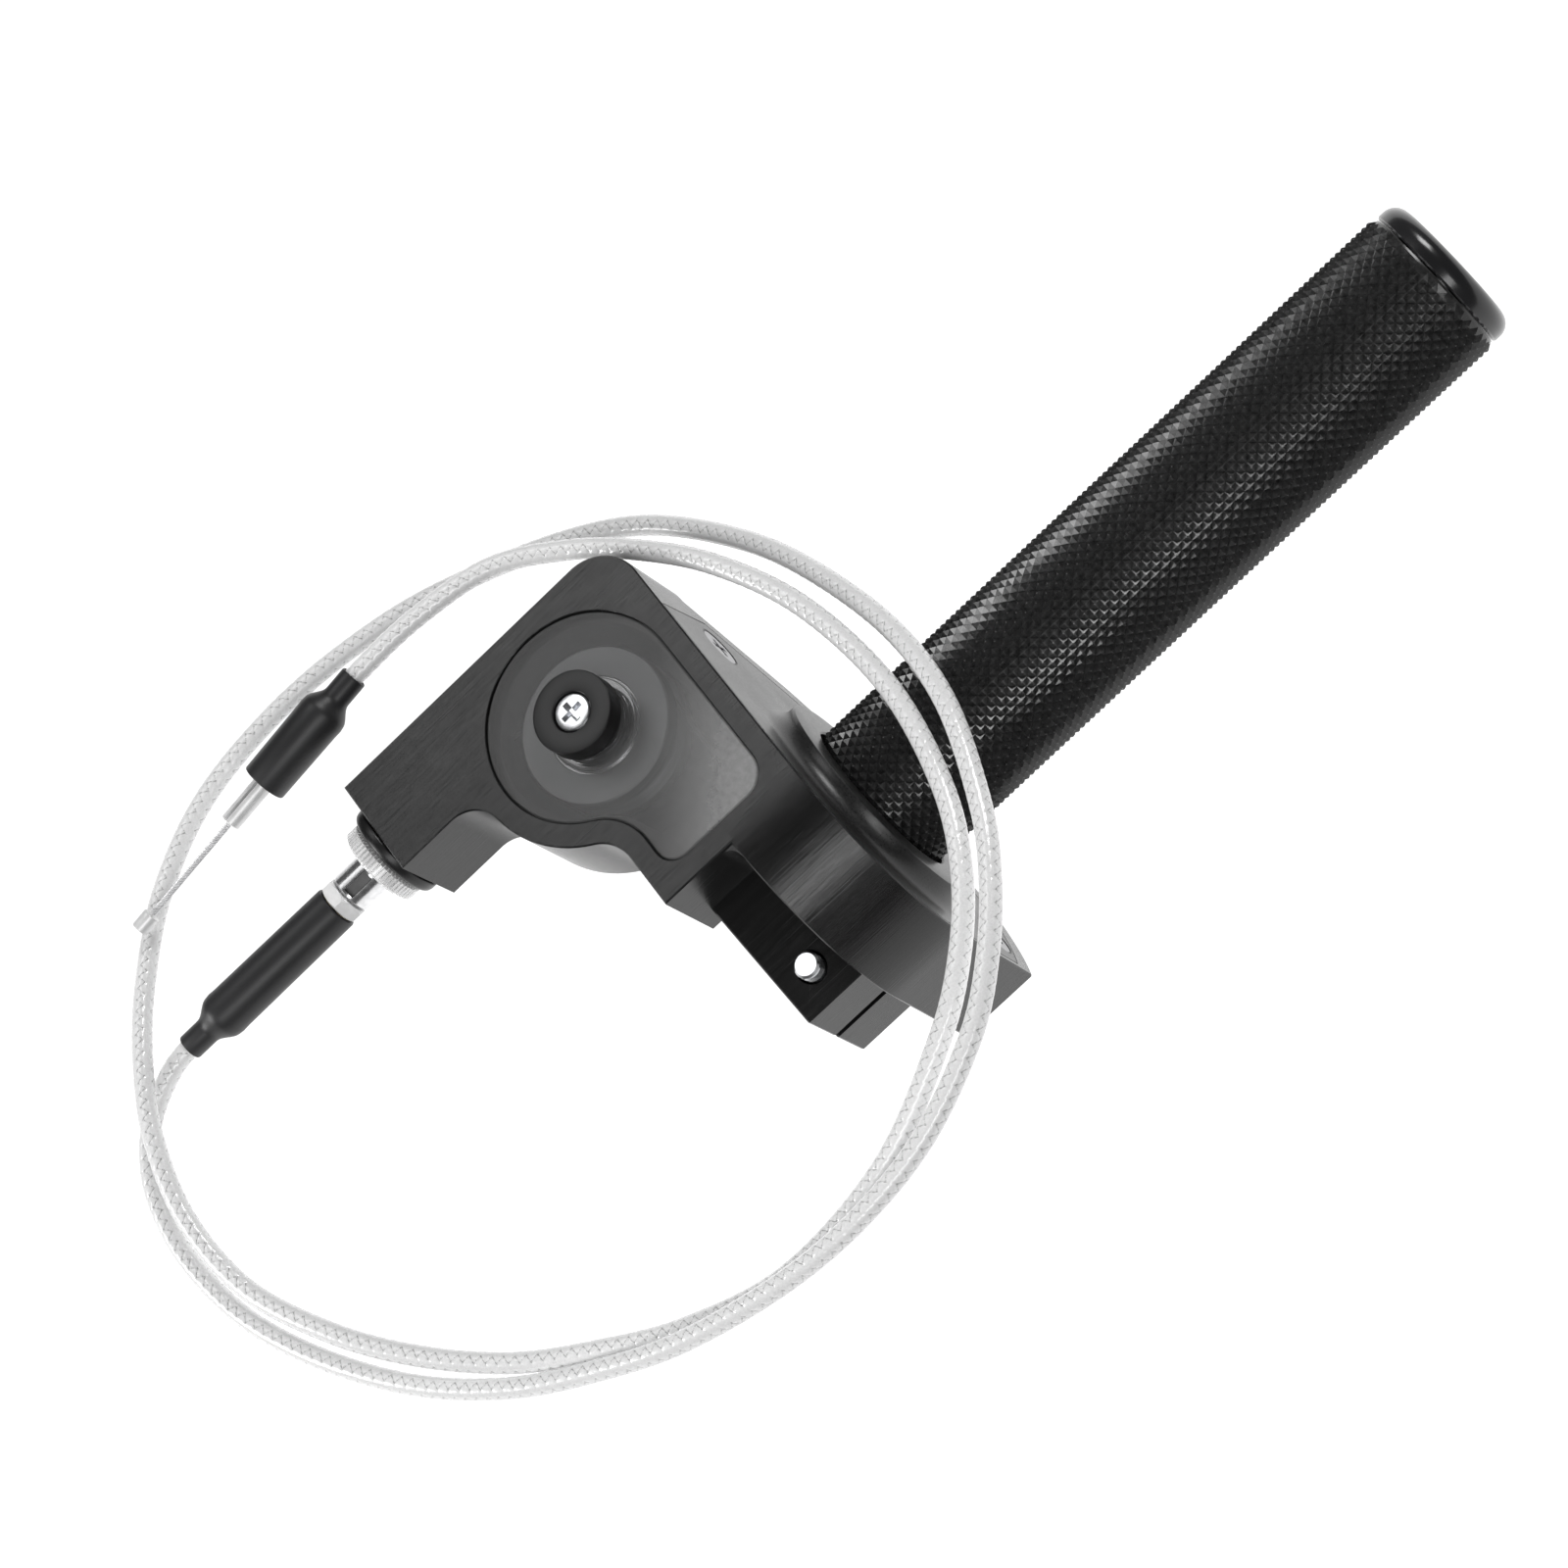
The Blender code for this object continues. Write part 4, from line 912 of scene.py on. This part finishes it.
def boot_profile(length, shoulder, neck, cavity_end, cavity_radius):
    """A hollow boot along +X: open end at zero, body, shoulder, taper and neck."""
    body, wide, slim, hole = 4.35, 4.6, 2.55, 2.25
    outer = [(0.0, body - 0.35), (0.1, body - 0.12), (0.35, body)]
    outer += [(shoulder - 2.0, wide - 0.08), (shoulder - 0.6, wide), (shoulder + 0.2, wide - 0.1)]
    taper_start, taper_radius, taper_steps = shoulder + 0.2, wide - 0.1, 8
    for step in range(1, taper_steps):
        t = step / taper_steps
        ease = t * t * (3 - 2 * t)
        outer.append((taper_start + (neck - taper_start) * t, taper_radius - (taper_radius - slim) * ease))
    outer += [(neck, slim), (length - 0.35, slim), (length - 0.08, slim - 0.1), (length, slim - 0.25)]
    inner = [(length, hole), (cavity_end, hole), (cavity_end, cavity_radius)]
    return [(0.0, cavity_radius)] + outer + inner


def adjuster_boot(look):
    """The long boot, from the hexagon nut over the cable's end."""
    profile = boot_profile(length=38.2, shoulder=29.2, neck=33.6, cavity_end=25.0, cavity_radius=3.4)
    boot = turned("long_boot", profile, BAR_AXIS, "X", look, 64)
    aim(boot, Vector((-59.3, *ADJUSTER_LINE)), Vector((-1.0, 0.0, 0.0)))
    return place(boot, "housing", "adjuster_boot")


# ---- cable

CARB_START = Vector((-30.0, 78.5, 26.0))
CARB_DIRECTION = Vector((-0.9933, -0.1156, 0.0)).normalized()
CABLE_RADIUS = 1.95
CABLE_START = Vector((-63.5, *ADJUSTER_LINE))
CABLE_ROUTE = [
    (-80, 48.8, 20.8), (-97, 48.8, 20.8),
    (-104.8, 47.6, 20), (-112.5, 43.9, 18.6), (-118.3, 37.4, 17.2), (-121.3, 29, 16),
    (-122, 18, 15), (-119, 3, 14.5), (-111, -13.5, 15), (-99, -30, 16), (-84.5, -43.5, 18),
    (-69, -53.5, 21), (-52.5, -62, 25), (-32, -68.5, 30), (-14, -71, 34), (3.5, -69.5, 37),
    (20, -63, 39), (30, -55, 39), (38.5, -44.5, 38), (45, -32, 36), (51, -11, 32), (51, 10, 27),
    (45.5, 33.5, 22), (38, 50.5, 18), (27.5, 65.5, 15), (15, 75.5, 13.5), (-2, 84, 13),
    (-21, 90.5, 13), (-45, 93, 14), (-68, 88.5, 17), (-85, 78, 20), (-97, 65, 22), (-105, 52, 24),
    (-111.5, 38.5, 24), (-115.5, 22.5, 22), (-114, 5, 20), (-106, -12, 19), (-95.5, -26.5, 18),
    (-82, -40, 18), (-67.5, -50, 19), (-51.5, -59, 21), (-31, -66, 25), (-6.5, -66, 31),
    (14, -59, 36), (26, -51, 37.5), (35.5, -39.5, 37), (42, -24, 35), (45, -1, 31), (42, 23, 28),
    (34.5, 42.5, 26), (25, 57, 24.5), (15, 67.5, 24), (2, 76, 24.5), (-14, 78.6, 25.6),
]
BRAID_BANDS = 4
BRAID_PITCH = 2.3
BRAID_DEPTH = 0.16
CARB_BOOT_LENGTH = 25.8


def carb_point(distance):
    """A point on the line of the carburettor end's fitting."""
    return CARB_START + CARB_DIRECTION * distance


def braid_relief(around, along):
    """Height, from 0 to 1, of bands that pass over two and under two of those that cross them.

    The place is given in turns round the cable and in millimetres along it.
    """
    u = BRAID_BANDS * around + along / BRAID_PITCH
    v = BRAID_BANDS * around - along / BRAID_PITCH
    cell = (math.floor(u) + math.floor(v)) % 4
    across, lengthwise = (u % 1.0, v % 1.0) if cell < 2 else (v % 1.0, u % 1.0)
    span = (lengthwise + cell % 2) / 2
    crown = 1.0 - 0.35 * abs(2.0 * across - 1.0) ** 6
    return crown * (1.0 - abs(2.0 * span - 1.0) ** 7)


def outer_cable(look):
    """The braided cable, with its bands as relief, from the adjuster to the carburettor end's sleeve."""
    stops = [CABLE_START] + [Vector(point) for point in CABLE_ROUTE]
    stops += [carb_point(0.0), carb_point(11.5)]
    sides = 56
    step = 0.22
    route = smooth_curve(stops, step)
    points = []
    relief = []
    for centre, side, up, along in turning_frames(route):
        for number in range(sides):
            turn = number / sides
            height = braid_relief(turn, along)
            radius = CABLE_RADIUS - BRAID_DEPTH * (1.0 - height)
            angle = math.tau * turn
            points.append((centre + (side * math.cos(angle) + up * math.sin(angle)) * radius) * MM)
            relief.append(height)
    faces = []
    for index in range(len(route) - 1):
        for number in range(sides):
            after = (number + 1) % sides
            low, high = index * sides, (index + 1) * sides
            faces.append((low + number, low + after, high + after, high + number))
    faces.append(tuple(reversed(range(sides))))
    faces.append(tuple(range(len(points) - sides, len(points))))
    mesh = bpy.data.meshes.new("braided_cable")
    mesh.from_pydata(points, [], faces)
    # These heights also darken the low gaps in the braid's material, as painted shade.
    heights = mesh.attributes.new("relief", "FLOAT", "POINT")
    heights.data.foreach_set("value", relief)
    cable = make_object("braided_cable", mesh, look, 60.0)
    place(cable, "housing", "outer_cable")


def stranded(name, stops, radius, look, step, pitch):
    """A wire rope: six strands laid round a seventh, along a route in millimetres."""
    frames = turning_frames(smooth_curve(stops, step))
    strand = radius / 3
    sides, laid = 8, 6
    shape = bmesh.new()
    for number in range(laid + 1):
        rings = []
        for centre, side, up, along in frames:
            turn = math.tau * (number / laid + along / pitch)
            offset = 0.0 if number == laid else 2 * strand
            middle = centre + (side * math.cos(turn) + up * math.sin(turn)) * offset
            ring = []
            for corner in range(sides):
                angle = math.tau * corner / sides
                outwards = side * math.cos(angle) + up * math.sin(angle)
                ring.append(shape.verts.new((middle + outwards * strand) * MM))
            rings.append(ring)
        bridge_and_close(shape, rings)
    return finish_shape(name, shape, look, 50.0)


def carb_boot(look):
    """The short boot, whose open end faces the carburettor."""
    profile = boot_profile(CARB_BOOT_LENGTH, shoulder=16.9, neck=21.0, cavity_end=14.3, cavity_radius=3.2)
    boot = turned("short_boot", profile, BAR_AXIS, "X", look, 64)
    aim(boot, carb_point(CARB_BOOT_LENGTH), -CARB_DIRECTION)
    return place(boot, "housing", "carb_end_boot")


def carb_sleeve(look):
    """The ferrule at the carburettor end, slotted along one side of its spout."""
    start, step, end = 11.8, 24.0, 35.4
    hole, body, spout = 1.0, 2.9, 1.9
    profile = [(start, hole), (start, body), (step, body), (step, spout)]
    profile += [(end - 0.2, spout), (end, spout - 0.2), (end, hole)]
    sleeve = turned("slotted_sleeve", profile, BAR_AXIS, "X", look, 64)
    slot = rectangle((-0.3, 0.5), (0.3, 3.5))
    cut(sleeve, prism("slot", slot, step + 1.5, end + OVERSHOOT, "X"))
    settle(sleeve)
    aim(sleeve, CARB_START, CARB_DIRECTION)
    return place(sleeve, "housing", "carb_end_sleeve")


def carb_wire(look):
    """The bare inner wire between the sleeve and the nipple."""
    stops = [carb_point(distance) for distance in (34.2, 42.0, 50.0, 57.5)]
    wire = stranded("carb_wire_strands", stops, 0.6, look, step=0.3, pitch=4.0)
    return place(wire, "carburettor_wire", "carb_inner_wire")


def carb_nipple(look):
    """The barrel at the wire's tip, with a dimple in its end."""
    start, end, radius, dimple = 57.8, 61.4, 1.65, 0.3
    profile = [(start, 0.0), (start, radius), (end, radius)]
    profile += [(end, 0.7), (end - dimple, 0.5), (end - dimple, 0.0)]
    nipple = turned("barrel_nipple", eased(profile, 0.2), BAR_AXIS, "X", look, 48)
    aim(nipple, CARB_START, CARB_DIRECTION)
    return place(nipple, "carburettor_wire", "carb_nipple")


def inner_wires(look):
    """The wire from the drum over the pulley into the adjuster, and its last wrap on the drum."""
    radius, pulley_path, step, pitch = 0.55, 12.9, 1.0, 6.0
    wire_x = PULLEY_CENTRE[0] + pulley_path
    stops = [Vector((wire_x, y, WIRE_Z)) for y in (0.4, 18.0, 30.0)]
    stops += [Vector((x, y, WIRE_Z)) for x, y in arc(PULLEY_CENTRE, pulley_path, 0.0, 90.0, 15.0)]
    stops += [Vector((x, ADJUSTER_LINE[0], WIRE_Z)) for x in (-10.0, -30.0, -50.0, -63.0)]
    run = stranded("wire_run_strands", stops, radius, look, step, pitch)
    place(run, "housing", "inner_wire_run")
    wrap_stops = [Vector((wire_x, y, z)) for y, z in arc(BAR_AXIS, WIRE_Z, 91.5, 178.5, 8.0)]
    wrap = stranded("wire_wrap_strands", wrap_stops, radius, look, step, pitch)
    place(wrap, "rotor", "inner_wire_wrap")


# ---- stage

CAMERA_PLACE = Vector((0.1267, -0.3295, 0.6327))
CAMERA_RIGHT = Vector((0.7196, -0.5484, -0.4260))
CAMERA_BACK = Vector((0.1530, -0.4731, 0.8676))
CAMERA_LENS = 93.9
SENSOR_WIDTH = 36.0
FLOOR_HEIGHT = -0.3
FLOOR_REACH = 6.0
LIGHT_TARGET = Vector((0.02, 0.0, 0.0))
LIGHT_DISTANCE = 0.9


def camera():
    """The camera that was solved from the photograph's outlines."""
    data = bpy.data.cameras.new("camera")
    data.lens = CAMERA_LENS
    data.sensor_width = SENSOR_WIDTH
    view = bpy.data.objects.new("camera", data)
    back = CAMERA_BACK.normalized()
    up = back.cross(CAMERA_RIGHT).normalized()
    turn = Matrix((up.cross(back), up, back)).transposed()
    view.matrix_world = Matrix.Translation(CAMERA_PLACE) @ turn.to_4x4()
    bpy.context.scene.collection.objects.link(view)
    bpy.context.scene.camera = view


def panel_light(name, direction, size, power):
    """A soft rectangular light that faces the object from a direction."""
    data = bpy.data.lights.new(name, "AREA")
    data.shape = "RECTANGLE"
    data.size, data.size_y = size
    data.energy = power
    lamp = bpy.data.objects.new(name, data)
    lamp.location = LIGHT_TARGET + Vector(direction).normalized() * LIGHT_DISTANCE
    lamp.rotation_mode = "QUATERNION"
    lamp.rotation_quaternion = (lamp.location - LIGHT_TARGET).to_track_quat("Z", "Y")
    bpy.context.scene.collection.objects.link(lamp)


def stage():
    """The pale floor, the faint even light all round and four lights."""
    look, shader, _ = new_material("floor_white")
    fix(shader, {"Base Color": grey(0.3), "Roughness": 0.9})
    fix(shader, {"Emission Color": grey(1.0), "Emission Strength": 0.95})
    mesh = bpy.data.meshes.new("floor")
    square = rectangle((-FLOOR_REACH, -FLOOR_REACH), (FLOOR_REACH, FLOOR_REACH))
    corners = [(x, y, FLOOR_HEIGHT) for x, y in square]
    mesh.from_pydata(corners, [], [(0, 1, 2, 3)])
    make_object("floor", mesh, look)
    world = bpy.data.worlds.new("studio")
    world.use_nodes = True
    fix(world.node_tree.nodes["Background"], {"Color": grey(1.0), "Strength": 0.08})
    bpy.context.scene.world = world
    bpy.context.scene.view_settings.view_transform = "Standard"
    panel_light("overhead", direction=(-0.08, 0.53, 0.84), size=(0.42, 0.36), power=0.98)
    panel_light("near_side", direction=(-0.15, -0.59, 0.80), size=(0.90, 0.24), power=3.2)
    panel_light("far_side", direction=(-0.88, 0.21, 0.43), size=(0.35, 0.35), power=3.6)
    panel_light("right_side", direction=(0.68, 0.34, 0.65), size=(0.30, 0.30), power=3.0)


# ---- the object

def main():
    """Builds every piece, and gives looks to the CAD pieces that stay."""
    brushed = (45.0, 4200.0, 4200.0)
    black = anodised("black_anodised", level=0.006, roughness=0.22, brush_scale=brushed, depth=0.00008)
    cover_black = anodised(
        "cover_anodised", level=0.014, roughness=0.32, brush_scale=even(2500.0), depth=0.00002)
    grip_black = anodised(
        "grip_anodised", level=0.022, roughness=0.22, brush_scale=even(900.0), depth=0.00001)
    bright = plain_metal("bright_zinc", (0.82, 0.83, 0.85), roughness=0.2)
    plated = plain_metal("plated_silver", (0.9, 0.9, 0.91), roughness=0.2)
    satin_plated = plain_metal(
        "satin_silver", (0.95, 0.95, 0.95), roughness=0.4, variation=0.04, scale=even(300.0), metallic=0.3)
    # Dark grey for the adjuster's slot walls, as painted shade.
    slot_painted_shade = plain_metal("slot_painted_shade", (0.16, 0.16, 0.16), roughness=0.5, metallic=0.5)
    wire_steel = plain_metal("wire_steel", (0.92, 0.92, 0.93), roughness=0.3, metallic=0.25)
    # A darker steel than the bare wire outside, for the wires inside the case.
    dark_inner_wire = plain_metal("dark_inner_wire", (0.3, 0.3, 0.3), roughness=0.4)
    dark_zinc = plain_metal("dark_zinc", (0.3, 0.3, 0.31), roughness=0.3)
    grey_metal = plain_metal(
        "turned_aluminium", (0.55, 0.56, 0.57), roughness=0.42, scale=(60.0, 60.0, 3000.0))
    polished = plain_metal("polished_hub", (0.9, 0.9, 0.91), roughness=0.16)
    brass = plain_metal("ferrule_brass", (0.7, 0.55, 0.28), roughness=0.3)
    gloss_black = moulded("gloss_black", (0.014, 0.014, 0.015), roughness=0.22, depth=0.00001, coat=0.3)
    satin_black = moulded("satin_black", (0.007, 0.007, 0.0073), roughness=0.34)
    rubber = moulded("boot_rubber", (0.02, 0.02, 0.021), roughness=0.42)
    nylon = moulded("drum_nylon", (0.9, 0.9, 0.88), roughness=0.45)

    main_housing(black)
    window_pane(smoked("smoked_window"))
    drum_cover(cover_black)
    cover_screws(dark_zinc)
    pinch_bolt(bright)
    pulley_wheel(grey_metal, polished)
    axle_knob(satin_black)
    knob_screw(bright)
    knurled_grip(grip_black)
    end_cap(gloss_black)
    flange_washer(satin_black)
    lock_nut(satin_plated)
    adjuster(plated, slot_painted_shade)
    hex_nut(satin_plated)
    on_cable = [
        adjuster_boot(rubber), carb_boot(rubber), carb_sleeve(satin_plated),
        carb_wire(wire_steel), carb_nipple(satin_plated),
    ]
    outer_cable(braid_look("clear_coated_braid"))
    inner_wires(dark_inner_wire)
    kept = {
        "pulley_bearing": bright, "pulley_axle": bright, "cable_drum": nylon,
        "drum_washer": nylon, "drum_nipple": bright, "cable_ferrule": brass,
    }
    for node, look in kept.items():
        for material_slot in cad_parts[node].material_slots:
            material_slot.material = look


main()
camera()
stage()
